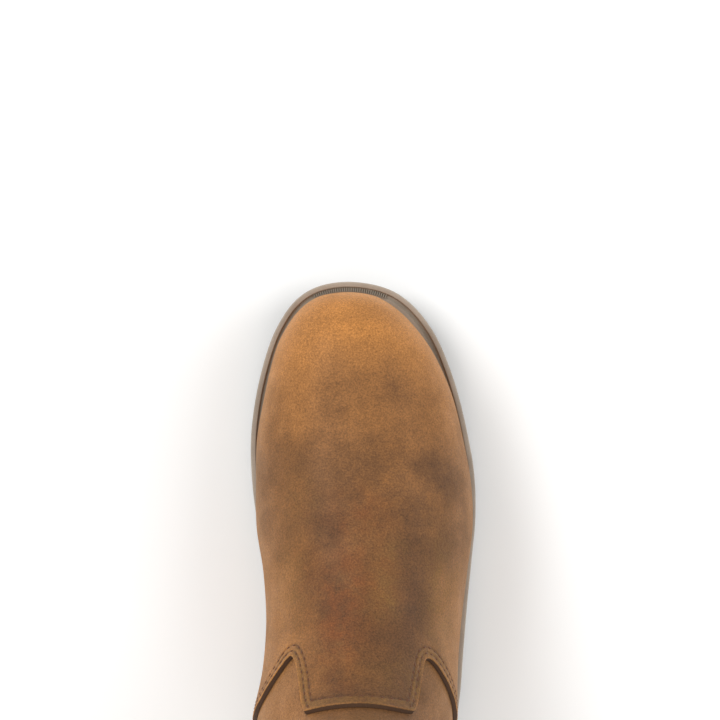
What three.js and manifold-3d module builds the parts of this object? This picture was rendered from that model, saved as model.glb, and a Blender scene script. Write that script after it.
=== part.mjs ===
// Pull-on work boot for the right foot, standing empty on its sole.
// Millimetres, +Z up, toe towards +Y, outer side of the foot towards +X.
// The origin is on the floor under the middle of the boot.
import * as THREE from 'three';
import { mergeVertices } from 'three/addons/utils/BufferGeometryUtils.js';
import Module from 'manifold-3d';

const wasm = await Module();
wasm.setup();

// Driving sizes
const bootLength = 312;
const ballWidth = 104;
const forefootStack = 20;
const heelStack = 38;
const toeSpring = 13;
const instepHeight = 126;
const shaftRise = 137;
const shaftDepth = 108;
const shaftWidth = 104;

// Leather
const upperWall = 2.2;
const vampLeather = 2.2;
const counterLeather = 2;
const heelCounterHeight = 62;
const seamLeather = 1.4;
const seamWidth = 15;
const bindingLeather = 1.1;
const bindingDepth = 13;
const fit = 0.3;

// Pull straps
const strapWidth = 24;
const strapThickness = 1.8;
const strapStandUp = 18;
const strapBulge = 4.5;
const strapOutsideLength = 46;
const strapInsideLength = 34;

// Sole
const outsoleThickness = 10;
const heelRubber = 21;
const archLift = 9;
const lipWidth = 2.6;
const grooveWidth = 2;
const lipHeight = 1.1;
const lipRound = 0.8;
const grooveDepth = 0.7;
const grooveSlope = 0.5;
const sideStep = 1.2;
const heelBreastShare = 0.7;
const lugDepth = 4;
const lugGap = 6;
const lugPitch = 15;
const lugSkew = 0.22;
const centreBar = 7;
const breastSlope = 0.014;
const treadStartShare = 0.06;
const treadEndShare = 0.43;
const heelTreadEndShare = 0.93;
const insoleThickness = 4;

// Collar, side seam and the line that the shaft stands over
const collarDip = 0.12;
const seamShare = 0.82;
const heelLineShare = 0.985;

// Fineness of the facets
const around = 28;
const bendStart = 12;
const bendEnd = 17;
const bendStep = 0.58;
const strapSteps = 2;
const outlineStep = 0.75;
const strapLoopSteps = 8;
const counterSteps = 12;
const featherSteps = 36;
const tabTurn = 50;
const tabSpacing = 1.6;

// Section of the lasted form from nose to heel seat. Lengths run from the toe and are shares of
// bootLength, heights are shares of instepHeight above the feather line, and widths of ballWidth.
const footSections = [
  { topAt: 0.0256, topHigh: 0.105, backAt: 0.0256, backHigh: 0.105, ridge: -0.077, inner: 0, outer: 0,
    widest: 0.5, topRound: 2, footRound: 2 },
  { topAt: 0.0295, topHigh: 0.19, backAt: 0.0295, backHigh: -0.02, ridge: -0.077, inner: 0.106, outer: 0.106,
    widest: 0.46, topRound: 2.1, footRound: 2.2 },
  { topAt: 0.0385, topHigh: 0.26, backAt: 0.0385, backHigh: -0.06, ridge: -0.077, inner: 0.168, outer: 0.168,
    widest: 0.43, topRound: 2.2, footRound: 2.4 },
  { topAt: 0.053, topHigh: 0.315, backAt: 0.053, backHigh: -0.09, ridge: -0.072, inner: 0.226, outer: 0.226,
    widest: 0.4, topRound: 2.3, footRound: 2.6 },
  { topAt: 0.074, topHigh: 0.37, backAt: 0.074, backHigh: -0.104, ridge: -0.064, inner: 0.282, outer: 0.282,
    widest: 0.38, topRound: 2.3, footRound: 2.8 },
  { topAt: 0.103, topHigh: 0.418, backAt: 0.103, backHigh: -0.11, ridge: -0.053, inner: 0.34, outer: 0.34,
    widest: 0.36, topRound: 2.3, footRound: 2.9 },
  { topAt: 0.141, topHigh: 0.46, backAt: 0.141, backHigh: -0.11, ridge: -0.038, inner: 0.39, outer: 0.39,
    widest: 0.35, topRound: 2.25, footRound: 3 },
  { topAt: 0.192, topHigh: 0.5, backAt: 0.192, backHigh: -0.11, ridge: -0.024, inner: 0.438, outer: 0.438,
    widest: 0.34, topRound: 2.2, footRound: 3 },
  { topAt: 0.256, topHigh: 0.544, backAt: 0.256, backHigh: -0.11, ridge: -0.017, inner: 0.478, outer: 0.478,
    widest: 0.34, topRound: 2.15, footRound: 3 },
  { topAt: 0.327, topHigh: 0.596, backAt: 0.327, backHigh: -0.11, ridge: 0.0, inner: 0.499, outer: 0.499,
    widest: 0.34, topRound: 2.1, footRound: 3 },
  { topAt: 0.397, topHigh: 0.656, backAt: 0.397, backHigh: -0.11, ridge: 0.005, inner: 0.5, outer: 0.5,
    widest: 0.35, topRound: 2.05, footRound: 2.9 },
  { topAt: 0.4615, topHigh: 0.72, backAt: 0.474, backHigh: -0.11, ridge: 0.008, inner: 0.468, outer: 0.468,
    widest: 0.38, topRound: 2, footRound: 2.8 },
  { topAt: 0.519, topHigh: 0.78, backAt: 0.57, backHigh: -0.11, ridge: 0.0, inner: 0.444, outer: 0.444,
    widest: 0.41, topRound: 2, footRound: 2.7 },
  { topAt: 0.5705, topHigh: 0.844, backAt: 0.672, backHigh: -0.11, ridge: -0.018, inner: 0.442, outer: 0.442,
    widest: 0.44, topRound: 2, footRound: 2.7 },
  { topAt: 0.6155, topHigh: 0.915, backAt: 0.785, backHigh: -0.1, ridge: -0.02, inner: 0.486, outer: 0.44,
    widest: 0.47, topRound: 2, footRound: 2.9 },
  { topAt: 0.6475, topHigh: 1.0, backAt: 0.895, backHigh: -0.08, ridge: -0.02, inner: 0.49, outer: 0.43,
    widest: 0.48, topRound: 2, footRound: 3.3 },
];

// Sections of the shaft. Front lengths are shares of shaftDepth ahead of the heel line, back lengths
// are shares of bootLength from the toe, heights are shares of shaftRise above the instep at the
// front and of the whole back from heel seat to collar at the back, and widths of shaftWidth.
const shaftSections = [
  { frontAt: 0.933, frontHigh: 0.12, backAt: 0.975, backHigh: -0.01, ridge: -0.025, inner: 0.472,
    outer: 0.43, widest: 0.48, topRound: 2.05, footRound: 2.9 },
  { frontAt: 0.924, frontHigh: 0.245, backAt: 0.989, backHigh: 0.1, ridge: -0.03, inner: 0.46,
    outer: 0.44, widest: 0.49, topRound: 2.1, footRound: 2.35 },
  { frontAt: 0.929, frontHigh: 0.385, backAt: 0.985, backHigh: 0.25, ridge: -0.035, inner: 0.462,
    outer: 0.45, widest: 0.5, topRound: 2.1, footRound: 2 },
  { frontAt: 0.943, frontHigh: 0.535, backAt: 0.98, backHigh: 0.425, ridge: -0.04, inner: 0.473,
    outer: 0.467, widest: 0.5, topRound: 2.1, footRound: 2 },
  { frontAt: 0.961, frontHigh: 0.69, backAt: 0.985, backHigh: 0.61, ridge: -0.044, inner: 0.492,
    outer: 0.492, widest: 0.5, topRound: 2.1, footRound: 2.05 },
  { frontAt: 0.98, frontHigh: 0.845, backAt: 0.993, backHigh: 0.8, ridge: -0.045, inner: 0.506,
    outer: 0.506, widest: 0.5, topRound: 2.1, footRound: 2.1 },
  { frontAt: 1.0, frontHigh: 1.0, backAt: 1.0, backHigh: 1.0, ridge: -0.045, inner: 0.52,
    outer: 0.52, widest: 0.5, topRound: 2.1, footRound: 2.1 },
];

// Outline of the sole. Lengths are shares of bootLength from the toe, widths are shares of ballWidth.
const soleOutline = [
  { at: 0.0, centre: -0.076, half: 0.0 },
  { at: 0.0045, centre: -0.071, half: 0.118 },
  { at: 0.016, centre: -0.064, half: 0.212 },
  { at: 0.035, centre: -0.058, half: 0.288 },
  { at: 0.061, centre: -0.051, half: 0.352 },
  { at: 0.0945, centre: -0.044, half: 0.409 },
  { at: 0.138, centre: -0.037, half: 0.458 },
  { at: 0.189, centre: -0.03, half: 0.5 },
  { at: 0.25, centre: -0.02, half: 0.533 },
  { at: 0.314, centre: -0.003, half: 0.548 },
  { at: 0.385, centre: 0.012, half: 0.539 },
  { at: 0.455, centre: 0.023, half: 0.509 },
  { at: 0.5256, centre: 0.034, half: 0.476 },
  { at: 0.596, centre: 0.03, half: 0.461 },
  { at: 0.667, centre: 0.018, half: 0.455 },
  { at: 0.744, centre: -0.004, half: 0.445 },
  { at: 0.82, centre: -0.022, half: 0.436 },
  { at: 0.885, centre: -0.03, half: 0.412 },
  { at: 0.936, centre: -0.034, half: 0.352 },
  { at: 0.973, centre: -0.034, half: 0.25 },
  { at: 0.9935, centre: -0.034, half: 0.13 },
  { at: 1.0, centre: -0.034, half: 0.0 },
];

// Heights along the sole: how much of the toe spring, the heel's extra height and the arch each has.
const soleRise = [
  { at: 0.0, spring: 1.0, heel: 0.0, arch: 0.0 },
  { at: 0.06, spring: 0.6, heel: 0.0, arch: 0.0 },
  { at: 0.13, spring: 0.27, heel: 0.0, arch: 0.0 },
  { at: 0.2, spring: 0.06, heel: 0.0, arch: 0.0 },
  { at: 0.25, spring: 0.0, heel: 0.0, arch: 0.0 },
  { at: 0.42, spring: 0.0, heel: 0.0, arch: 0.0 },
  { at: 0.5, spring: 0.0, heel: 0.08, arch: 0.3 },
  { at: 0.6, spring: 0.0, heel: 0.34, arch: 0.9 },
  { at: 0.7, spring: 0.0, heel: 0.72, arch: 1.0 },
  { at: 0.8, spring: 0.0, heel: 0.96, arch: 1.0 },
  { at: 0.9, spring: 0.0, heel: 1.0, arch: 1.0 },
  { at: 1.0, spring: 0.0, heel: 1.0, arch: 1.0 },
];

// Back edge of the vamp: turn in degrees from the ridge, place in sections from the nose. It has a
// squared tongue tab between two notches, and a wing down each side.
const vampEdgeRows = [
  { at: -180, place: 13.6 },
  { at: -135, place: 13.78 },
  { at: -105, place: 13.9 },
  { at: -82, place: 13.88 },
  { at: -66, place: 13.7 },
  { at: -52, place: 13.24 },
  { at: -46.5, place: 13.04 },
  { at: -43.5, place: 12.98 },
  { at: -41, place: 13.06 },
  { at: -37, place: 13.36 },
  { at: -32.6, place: 13.96 },
  { at: -30.3, place: 14.58 },
  { at: -28.6, place: 14.86 },
  { at: 5, place: 14.91 },
  { at: 31.6, place: 14.76 },
  { at: 33.8, place: 14.62 },
  { at: 35.6, place: 14.22 },
  { at: 37.9, place: 13.57 },
  { at: 40.2, place: 13.12 },
  { at: 44, place: 13.03 },
  { at: 48, place: 13.08 },
  { at: 61, place: 13.38 },
  { at: 78, place: 13.7 },
  { at: 105, place: 13.88 },
  { at: 135, place: 13.78 },
  { at: 180, place: 13.6 },
];

// Side outline of the heel counter: shares of bootLength from the toe and of heelCounterHeight above
// the feather line.
const counterOutline = [
  { at: 0.772, high: -0.3 },
  { at: 0.782, high: 0.1 },
  { at: 0.805, high: 0.4 },
  { at: 0.85, high: 0.68 },
  { at: 0.905, high: 0.87 },
  { at: 0.96, high: 0.97 },
  { at: 1.06, high: 1.02 },
];

// Sides of the midsole and outsole, from the bottom up: insets are shares of sideStep, heights are
// shares of the thickness.
const midsoleSide = [
  { inset: 1, high: 0 },
  { inset: 0.3, high: 0.16 },
  { inset: 0, high: 0.55 },
  { inset: 0.8, high: 0.62 },
  { inset: 0.8, high: 0.72 },
  { inset: 0, high: 0.8 },
];

const outsoleSide = [
  { inset: 1.5, high: 0 },
  { inset: 0.6, high: 0.14 },
  { inset: 0, high: 0.55 },
  { inset: 0, high: 0.82 },
  { inset: 0.5, high: 0.9 },
  { inset: 1, high: 1 },
];

// Smooth curves through tables
function catmull(a, b, c, d, t) {
  const linear = c - a;
  const square = 2 * a - 5 * b + 4 * c - d;
  const cube = 3 * b - a - 3 * c + d;
  return 0.5 * (2 * b + linear * t + square * t * t + cube * t * t * t);
}

function rowAt(rows, place) {
  const first = Math.min(Math.max(Math.floor(place), 0), rows.length - 4);
  const near = rows.slice(first, first + 4);
  const row = {};
  for (const name of Object.keys(rows[0])) {
    row[name] = catmull(...near.map((r) => r[name]), place - first);
  }
  return row;
}

function valueAt(rows, at, name) {
  const inside = Math.min(Math.max(at, rows[0].at), rows.at(-1).at);
  let i = 0;
  while (i < rows.length - 2 && rows[i + 1].at < inside) i += 1;
  const secant = (k) => (rows[k + 1][name] - rows[k][name]) / (rows[k + 1].at - rows[k].at);
  const slope = (k) => {
    if (k === 0) return secant(0);
    if (k === rows.length - 1) return secant(k - 1);
    const [before, after] = [secant(k - 1), secant(k)];
    if (before * after <= 0) return 0;
    return Math.sign(after) * Math.min(
      Math.abs(before + after) / 2, 3 * Math.min(Math.abs(before), Math.abs(after)),
    );
  };
  const step = rows[i + 1].at - rows[i].at;
  const t = (inside - rows[i].at) / step;
  const [t2, t3] = [t * t, t * t * t];
  return (2 * t3 - 3 * t2 + 1) * rows[i][name] + (t3 - 2 * t2 + t) * step * slope(i)
    + (3 * t2 - 2 * t3) * rows[i + 1][name] + (t3 - t2) * step * slope(i + 1);
}

const toeY = bootLength / 2;
const yAt = (at) => toeY - at * bootLength;
const atY = (y) => (toeY - y) / bootLength;
const rise = (y, name) => valueAt(soleRise, atY(y), name);

// The feather line is where the upper stands on the sole.
const featherZ = (y) => forefootStack + toeSpring * rise(y, 'spring')
  + (heelStack - forefootStack) * rise(y, 'heel');
const midsoleZ = (y) => outsoleThickness + toeSpring * rise(y, 'spring')
  + (heelRubber - outsoleThickness) * rise(y, 'heel');
const treadZ = (y) => toeSpring * rise(y, 'spring') + archLift * rise(y, 'arch');

// The lasted form
const shaftBase = featherZ(yAt(footSections.at(-1).topAt)) + instepHeight;
const backRise = shaftBase + shaftRise - heelStack;
const heelLine = yAt(heelLineShare);
const seamY = yAt(seamShare);

function footRow(r) {
  const [ty, by] = [yAt(r.topAt), yAt(r.backAt)];
  return {
    ty, by,
    tz: featherZ(ty) + r.topHigh * instepHeight,
    bz: featherZ(by) + r.backHigh * instepHeight,
    ridge: r.ridge * ballWidth,
    inner: r.inner * ballWidth,
    outer: r.outer * ballWidth,
    widest: r.widest, topRound: r.topRound, footRound: r.footRound,
  };
}

function shaftRow(r) {
  return {
    ty: heelLine + r.frontAt * shaftDepth,
    by: yAt(r.backAt),
    tz: shaftBase + r.frontHigh * shaftRise,
    bz: heelStack + r.backHigh * backRise,
    ridge: r.ridge * shaftWidth,
    inner: r.inner * shaftWidth,
    outer: r.outer * shaftWidth,
    widest: r.widest, topRound: r.topRound, footRound: r.footRound,
  };
}

// The row before the nose mirrors the first one, which rounds the toe.
function mirrored(row) {
  return { ...row, tz: row.bz, bz: row.tz, inner: -row.inner, outer: -row.outer };
}

function beyond(a, b) {
  const row = {};
  for (const name of Object.keys(b)) row[name] = 2 * b[name] - a[name];
  return row;
}

const outlineRows = [
  { ...soleOutline[1], half: -soleOutline[1].half },
  ...soleOutline,
  { ...soleOutline.at(-2), half: -soleOutline.at(-2).half },
];

const bodyRows = [...footSections.map(footRow), ...shaftSections.map(shaftRow)];
const formRows = [mirrored(bodyRows[1]), ...bodyRows, beyond(bodyRows.at(-2), bodyRows.at(-1))];
const collarPlace = bodyRows.length - 1;

// A point of the form: place counts sections from the nose, turn is 0 on the ridge, positive outwards.
function formPoint(place, turn) {
  const r = rowAt(formRows, place);
  const [c, s] = [Math.cos(turn), Math.sin(turn)];
  const power = c >= 0 ? r.topRound : r.footRound;
  const reach = (Math.abs(c) ** power + Math.abs(s) ** power) ** (-1 / power);
  const up = c >= 0 ? r.widest + (1 - r.widest) * c * reach : r.widest * (1 + c * reach);
  const x = r.ridge + s * reach * (s > 0 ? r.outer : r.inner);
  return new THREE.Vector3(x, r.by + (r.ty - r.by) * up, r.bz + (r.tz - r.bz) * up);
}

function formNormal(place, turn) {
  const d = 0.02;
  if (place < d) return new THREE.Vector3(0, 1, 0);
  const along = formPoint(place + d, turn).sub(formPoint(place - d, turn));
  const round = formPoint(place, turn + d).sub(formPoint(place, turn - d));
  return along.cross(round).normalize();
}

function skin(place, turn, offset) {
  const p = formPoint(place, turn);
  return offset ? p.addScaledVector(formNormal(place, turn), offset) : p;
}

// A point by the collar: high runs along the shaft from its edge, upwards when positive.
function overCollar(turn, high, offset) {
  const angle = THREE.MathUtils.degToRad(turn);
  const perSection = formPoint(collarPlace, angle).distanceTo(formPoint(collarPlace - 1, angle));
  return skin(collarEdge(turn) + high / perSection, angle, offset);
}

// Solids
function solidOf(points, faces) {
  const vertProperties = new Float32Array(points.flatMap((p) => [p.x, p.y, p.z]));
  const triVerts = new Uint32Array(faces.flat());
  return new wasm.Manifold(new wasm.Mesh({ numProp: 3, vertProperties, triVerts }));
}

function geometryFrom(solid) {
  const mesh = solid.getMesh();
  const geometry = new THREE.BufferGeometry();
  const position = [];
  for (let v = 0; v < mesh.vertProperties.length; v += mesh.numProp) {
    position.push(...mesh.vertProperties.slice(v, v + 3));
  }
  geometry.setAttribute('position', new THREE.Float32BufferAttribute(position, 3));
  geometry.setIndex([...mesh.triVerts]);
  return geometry;
}

// A three.js geometry as a solid, with its shared corners merged.
function fromGeometry(geometry) {
  geometry.deleteAttribute('normal');
  geometry.deleteAttribute('uv');
  const merged = mergeVertices(geometry);
  const vertProperties = new Float32Array(merged.attributes.position.array);
  const triVerts = new Uint32Array(merged.index.array);
  return new wasm.Manifold(new wasm.Mesh({ numProp: 3, vertProperties, triVerts }));
}

const boxSolid = (x, y, z) => fromGeometry(new THREE.BoxGeometry(x, y, z));

const quad = (a, b, c, d) => [[a, b, c], [a, c, d]];

// Rings of every form count sections, with short steps where the shaft bends up from the instep.
function ringPlaces(end) {
  const places = [0.5];
  for (let place = 1; place < end; place += place < bendStart || place > bendEnd ? 1 : bendStep) {
    places.push(place);
  }
  return [...places, end];
}

const evenTurns = Array.from({ length: around }, (_, j) => -180 + (360 * j) / around);

// A closed skin from the nose to an edge that is a function of the turn, at one offset. It returns
// the number of its nose point, and its rings follow that point.
function addSkin(points, offset, rings, turns, edge) {
  const pole = points.push(skin(0, 0, offset)) - 1;
  const end = rings.at(-1);
  for (const ring of rings) {
    const share = Math.max(ring - bendStart, 0) / (end - bendStart);
    for (const turn of turns) {
      const place = Math.min(ring, bendStart) + share * (edge(turn) - bendStart);
      points.push(skin(place, THREE.MathUtils.degToRad(turn), offset));
    }
  }
  return pole;
}

function skinFaces(pole, rings, turns, outward) {
  const n = turns.length;
  const at = (i, j) => pole + 1 + i * n + (j % n);
  const faces = [];
  for (let j = 0; j < n; j += 1) {
    faces.push([pole, at(0, j), at(0, j + 1)]);
    for (let i = 0; i < rings.length - 1; i += 1) {
      faces.push(...quad(at(i, j), at(i + 1, j), at(i + 1, j + 1), at(i, j + 1)));
    }
  }
  return outward ? faces : faces.map(([a, b, c]) => [a, c, b]);
}

// A leather cup between two offsets, open past its edge.
function cup(inside, outside, rings, turns, edge) {
  const points = [];
  const outer = addSkin(points, outside, rings, turns, edge);
  const inner = addSkin(points, inside, rings, turns, edge);
  const faces = [...skinFaces(outer, rings, turns, true), ...skinFaces(inner, rings, turns, false)];
  const n = turns.length;
  const last = 1 + (rings.length - 1) * n;
  for (let j = 0; j < n; j += 1) {
    const [a, b] = [last + j, last + ((j + 1) % n)];
    faces.push(...quad(outer + a, inner + a, inner + b, outer + b));
  }
  return solidOf(points, faces);
}

// The whole form at one offset, filled and closed over the collar.
function core(offset) {
  const rings = ringPlaces(collarPlace);
  const points = [];
  const pole = addSkin(points, offset, rings, evenTurns, collarEdge);
  const faces = skinFaces(pole, rings, evenTurns, true);
  const last = pole + 1 + (rings.length - 1) * around;
  const middle = new THREE.Vector3();
  for (let j = 0; j < around; j += 1) middle.addScaledVector(points[last + j], 1 / around);
  const cap = points.push(middle) - 1;
  for (let j = 0; j < around; j += 1) faces.push([cap, last + ((j + 1) % around), last + j]);
  return solidOf(points, faces);
}

// A closed loft of stations that hold the same number of points. It closes on itself, or has end
// caps in strips across: from side to side of a strap, or between the two sides of a sole ring.
function loft(stations, caps) {
  const n = stations[0].length;
  const count = stations.length;
  const faces = [];
  for (let i = 0; i < (caps ? count - 1 : count); i += 1) {
    const next = ((i + 1) % count) * n;
    for (let k = 0; k < n; k += 1) {
      const k2 = (k + 1) % n;
      faces.push(...quad(i * n + k, next + k, next + k2, i * n + k2));
    }
  }
  if (caps) {
    const last = (count - 1) * n;
    const strips = caps(n);
    faces.push(...strips, ...strips.map(([p, q, r]) => [last + p, last + r, last + q]));
  }
  return solidOf(stations.flat(), faces);
}

function strapCaps(n) {
  const strips = [];
  for (let k = 1; k < n / 2; k += 1) strips.push(...quad(k - 1, k, n - 1 - k, n - k));
  return strips;
}

function soleCaps(n) {
  const strips = [[0, 1, n - 1], [n / 2 - 1, n / 2, n / 2 + 1]];
  for (let k = 1; k < n / 2 - 1; k += 1) strips.push(...quad(k, k + 1, n - k - 1, n - k));
  return strips;
}

// A side outline as a solid across the whole boot.
function acrossBoot(outline) {
  const shape = new THREE.Shape(outline.map(([y, z]) => new THREE.Vector2(y, z)));
  const geometry = new THREE.ExtrudeGeometry(shape, { depth: 2 * ballWidth, bevelEnabled: false });
  geometry.applyMatrix4(new THREE.Matrix4().makeBasis(
    new THREE.Vector3(0, 1, 0), new THREE.Vector3(0, 0, 1), new THREE.Vector3(1, 0, 0),
  ));
  geometry.translate(-ballWidth, 0, 0);
  return fromGeometry(geometry);
}

// Everything under the feather line, raised by a lift.
function underFeather(lift) {
  const past = forefootStack;
  const outline = [];
  for (let i = 0; i <= featherSteps; i += 1) {
    const y = toeY + past - (i / featherSteps) * (bootLength + 2 * past);
    outline.push([y, featherZ(y) + lift]);
  }
  return acrossBoot([...outline, [-toeY - past, -heelStack], [toeY + past, -heelStack]]);
}

// Upper and the leather laid over it
const collarEdge = (turn) => collarPlace - collarDip * Math.sin(THREE.MathUtils.degToRad(turn)) ** 2;
const vampEdge = (turn) => valueAt(vampEdgeRows, turn, 'place');

function makeUpper() {
  return cup(-upperWall, 0, ringPlaces(collarPlace), evenTurns, collarEdge).subtract(underFeather(0));
}

function makeVamp() {
  const tabTurns = vampEdgeRows.map((row) => row.at).filter((turn) => Math.abs(turn) < tabTurn);
  const fine = evenTurns.filter((turn) => tabTurns.every((tab) => Math.abs(tab - turn) > tabSpacing));
  const turns = [...fine, ...tabTurns].sort((a, b) => a - b);
  const rings = ringPlaces(vampEdge(0));
  return cup(fit, fit + vampLeather, rings, turns, vampEdge).subtract(underFeather(0));
}

function counterSide(grow) {
  const corners = counterOutline.map((row) => {
    const y = yAt(row.at);
    return new THREE.Vector2(y + grow, featherZ(y) + row.high * heelCounterHeight + grow);
  });
  const outline = new THREE.SplineCurve(corners).getPoints(counterSteps).map((p) => [p.x, p.y]);
  return acrossBoot([...outline, [outline.at(-1)[0], outline[0][1]]].reverse());
}

function makeCounter() {
  const shell = cup(fit, fit + counterLeather, ringPlaces(collarPlace), evenTurns, collarEdge);
  return shell.intersect(counterSide(0)).subtract(underFeather(0));
}

function makeSideSeam(side) {
  const shell = cup(fit, fit + seamLeather, ringPlaces(collarPlace), evenTurns, collarEdge);
  const [front, back] = [seamY + seamWidth / 2, seamY - seamWidth / 2];
  const top = overCollar(90, 0, 0).z - bindingDepth - fit;
  const strip = acrossBoot([[back, heelStack], [front, heelStack], [front, top], [back, top]]);
  const half = boxSolid(ballWidth, bootLength * 2, bootLength * 4).translate([side * ballWidth / 2, 0, 0]);
  return shell.intersect(strip).intersect(half).subtract(counterSide(fit));
}

// The binding's section runs up the outside, over the edge and down the inside, then back.
function makeBinding() {
  const [out, inn] = [fit + bindingLeather, -upperWall - fit - bindingLeather];
  const [low, close, over] = [-bindingDepth, fit, fit + bindingLeather];
  const section = [
    [out, low], [out, 0], [out - bindingLeather / 2, over], [inn + bindingLeather / 2, over], [inn, low],
    [inn + bindingLeather, low], [inn + bindingLeather, close], [fit, close], [fit, low],
  ].reverse();
  const stations = evenTurns.map((turn) => section.map(([offset, high]) => overCollar(turn, high, offset)));
  return loft(stations);
}

// A pull strap's legs lie outside the seam strip and inside the binding, and meet in a round loop.
function makePullStrap(side) {
  const outside = 2 * fit + Math.max(bindingLeather, seamLeather);
  const inside = -upperWall - 2 * fit - bindingLeather;
  const path = (grow) => {
    const [middle, half] = [(outside + inside) / 2, (outside - inside) / 2 + grow];
    const line = [[outside + grow, -strapOutsideLength], [outside + grow, -strapOutsideLength / 2]];
    for (let k = 0; k <= strapLoopSteps; k += 1) {
      const turn = (Math.PI * k) / strapLoopSteps;
      const wide = half + strapBulge * Math.sin(turn);
      line.push([middle + wide * Math.cos(turn), (strapStandUp - strapThickness + grow) * Math.sin(turn)]);
    }
    line.push([inside - grow, -strapInsideLength / 2], [inside - grow, -strapInsideLength]);
    return line;
  };
  const section = [...path(0), ...path(strapThickness).reverse()];
  const halfTurn = THREE.MathUtils.radToDeg(strapWidth / shaftWidth);
  const stations = [];
  for (let k = 0; k <= strapSteps; k += 1) {
    const turn = side * (90 - side * halfTurn * (1 - (2 * k) / strapSteps));
    stations.push(section.map(([offset, high]) => overCollar(turn, high, offset)));
  }
  return loft(stations, strapCaps);
}

// Sole
function solePlaces() {
  const rows = outlineRows.length - 2;
  const places = [];
  for (let place = 0; place < rows - 1; place += outlineStep) places.push(place);
  places.push(rows - 1);
  const breast = [heelBreastShare, heelBreastShare + breastSlope].map((at) => placeOf(at));
  return [...places.filter((place) => breast.every((b) => Math.abs(b - place) > outlineStep / 3)), ...breast]
    .sort((a, b) => a - b);
}

function placeOf(at) {
  let [low, high] = [0, outlineRows.length - 3];
  while (high - low > 1e-6) {
    const middle = (low + high) / 2;
    if (rowAt(outlineRows, middle).at < at) low = middle;
    else high = middle;
  }
  return low;
}

// A ring of the sole at one inset from its outline: down the outer side and back up the inner side.
function soleRing(inset, heightAt) {
  const places = solePlaces();
  const sideOf = (place, side) => {
    const row = rowAt(outlineRows, place);
    return new THREE.Vector2((row.centre + side * row.half) * ballWidth, yAt(row.at));
  };
  const insetPoint = (place, side) => {
    const step = 0.01;
    const along = sideOf(place + step, side).sub(sideOf(place - step, side)).normalize();
    const inward = new THREE.Vector2(along.y, -along.x).multiplyScalar(side * inset);
    const p = sideOf(place, side).add(inward);
    return new THREE.Vector3(p.x, p.y, heightAt(p.y));
  };
  const [toe, heel] = [places[0], places.at(-1)];
  const between = places.slice(1, -1);
  const outerSide = between.map((place) => insetPoint(place, 1));
  const innerSide = between.map((place) => insetPoint(place, -1)).reverse();
  return [insetPoint(toe, 1), ...outerSide, insetPoint(heel, 1), ...innerSide];
}

function sideRings(rows, bottom, top) {
  return rows.map((row) => {
    const height = (y) => bottom(y) + row.high * (top(y) - bottom(y));
    return soleRing(row.inset * sideStep, height);
  });
}

function makeMidsole() {
  const top = (y) => featherZ(y) - fit;
  const lip = (y) => featherZ(y) + lipHeight;
  const groove = (y) => featherZ(y) - grooveDepth;
  const rings = [
    ...sideRings(midsoleSide, midsoleZ, featherZ),
    soleRing(0, (y) => lip(y) - lipRound),
    soleRing(lipRound, lip),
    soleRing(lipWidth, lip),
    soleRing(lipWidth + grooveSlope, groove),
    soleRing(lipWidth + grooveWidth, groove),
    soleRing(lipWidth + grooveWidth + grooveSlope, top),
  ];
  const room = core(fit + vampLeather + fit).subtract(underFeather(-fit));
  return loft(rings, soleCaps).subtract(room);
}

function makeOutsole() {
  const top = (y) => midsoleZ(y) - fit;
  const bottom = (y) => {
    const at = atY(y);
    return at >= heelBreastShare + breastSlope / 2 ? 0 : treadZ(y);
  };
  const body = loft(sideRings(outsoleSide, bottom, top), soleCaps);
  return treadGrooves(bottom).reduce((rubber, groove) => rubber.subtract(groove), body);
}

// Slanted grooves leave a row of lugs on each side of the centre bar, in the forefoot and the heel.
function treadGrooves(bottom) {
  const grooves = [];
  const cut = (y) => {
    const middle = rowAt(outlineRows, placeOf(atY(y))).centre * ballWidth;
    const slope = Math.atan2(bottom(y + 1) - bottom(y - 1), 2);
    for (const side of [-1, 1]) {
      const box = new THREE.BoxGeometry(ballWidth, lugGap, 2 * lugDepth);
      box.translate(side * (ballWidth + centreBar) / 2, 0, 0);
      box.rotateZ(-side * lugSkew);
      box.rotateX(slope);
      box.translate(middle, y, bottom(y));
      grooves.push(fromGeometry(box));
    }
  };
  const [toeGrooves, heelGrooves] = [yAt(treadStartShare), yAt(heelBreastShare) - lugPitch];
  for (let y = toeGrooves; y > yAt(treadEndShare); y -= lugPitch) cut(y);
  for (let y = heelGrooves; y > yAt(heelTreadEndShare); y -= lugPitch) cut(y);
  return grooves;
}

function makeInsole() {
  return core(-upperWall - fit).intersect(underFeather(insoleThickness)).subtract(underFeather(0));
}

// Finishes
const finish = (color, roughness) => new THREE.MeshStandardMaterial({ color, roughness, metalness: 0 });
const oiledLeather = finish('#a8733f', 0.6);
const shaftLeather = finish('#94683f', 0.6);
const foldedLeather = finish('#6f4526', 0.65);
const strapWebbing = finish('#5b4230', 0.85);
const mouldedCushion = finish('#9c9084', 0.75);
const treadRubber = finish('#5a4a3e', 0.8);
const footbed = finish('#4a423b', 0.9);

const boot = new THREE.Group();

function addPiece(name, solid, material) {
  const mesh = new THREE.Mesh(geometryFrom(solid), material);
  mesh.name = name;
  boot.add(mesh);
}

addPiece('upper', makeUpper(), shaftLeather);
addPiece('vamp', makeVamp(), oiledLeather);
addPiece('heel_counter', makeCounter(), oiledLeather);
addPiece('side_seam_medial', makeSideSeam(-1), oiledLeather);
addPiece('side_seam_lateral', makeSideSeam(1), oiledLeather);
addPiece('collar_binding', makeBinding(), foldedLeather);
addPiece('pull_strap_medial', makePullStrap(-1), strapWebbing);
addPiece('pull_strap_lateral', makePullStrap(1), strapWebbing);
addPiece('insole', makeInsole(), footbed);
addPiece('midsole', makeMidsole(), mouldedCushion);
addPiece('outsole', makeOutsole(), treadRubber);

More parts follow.
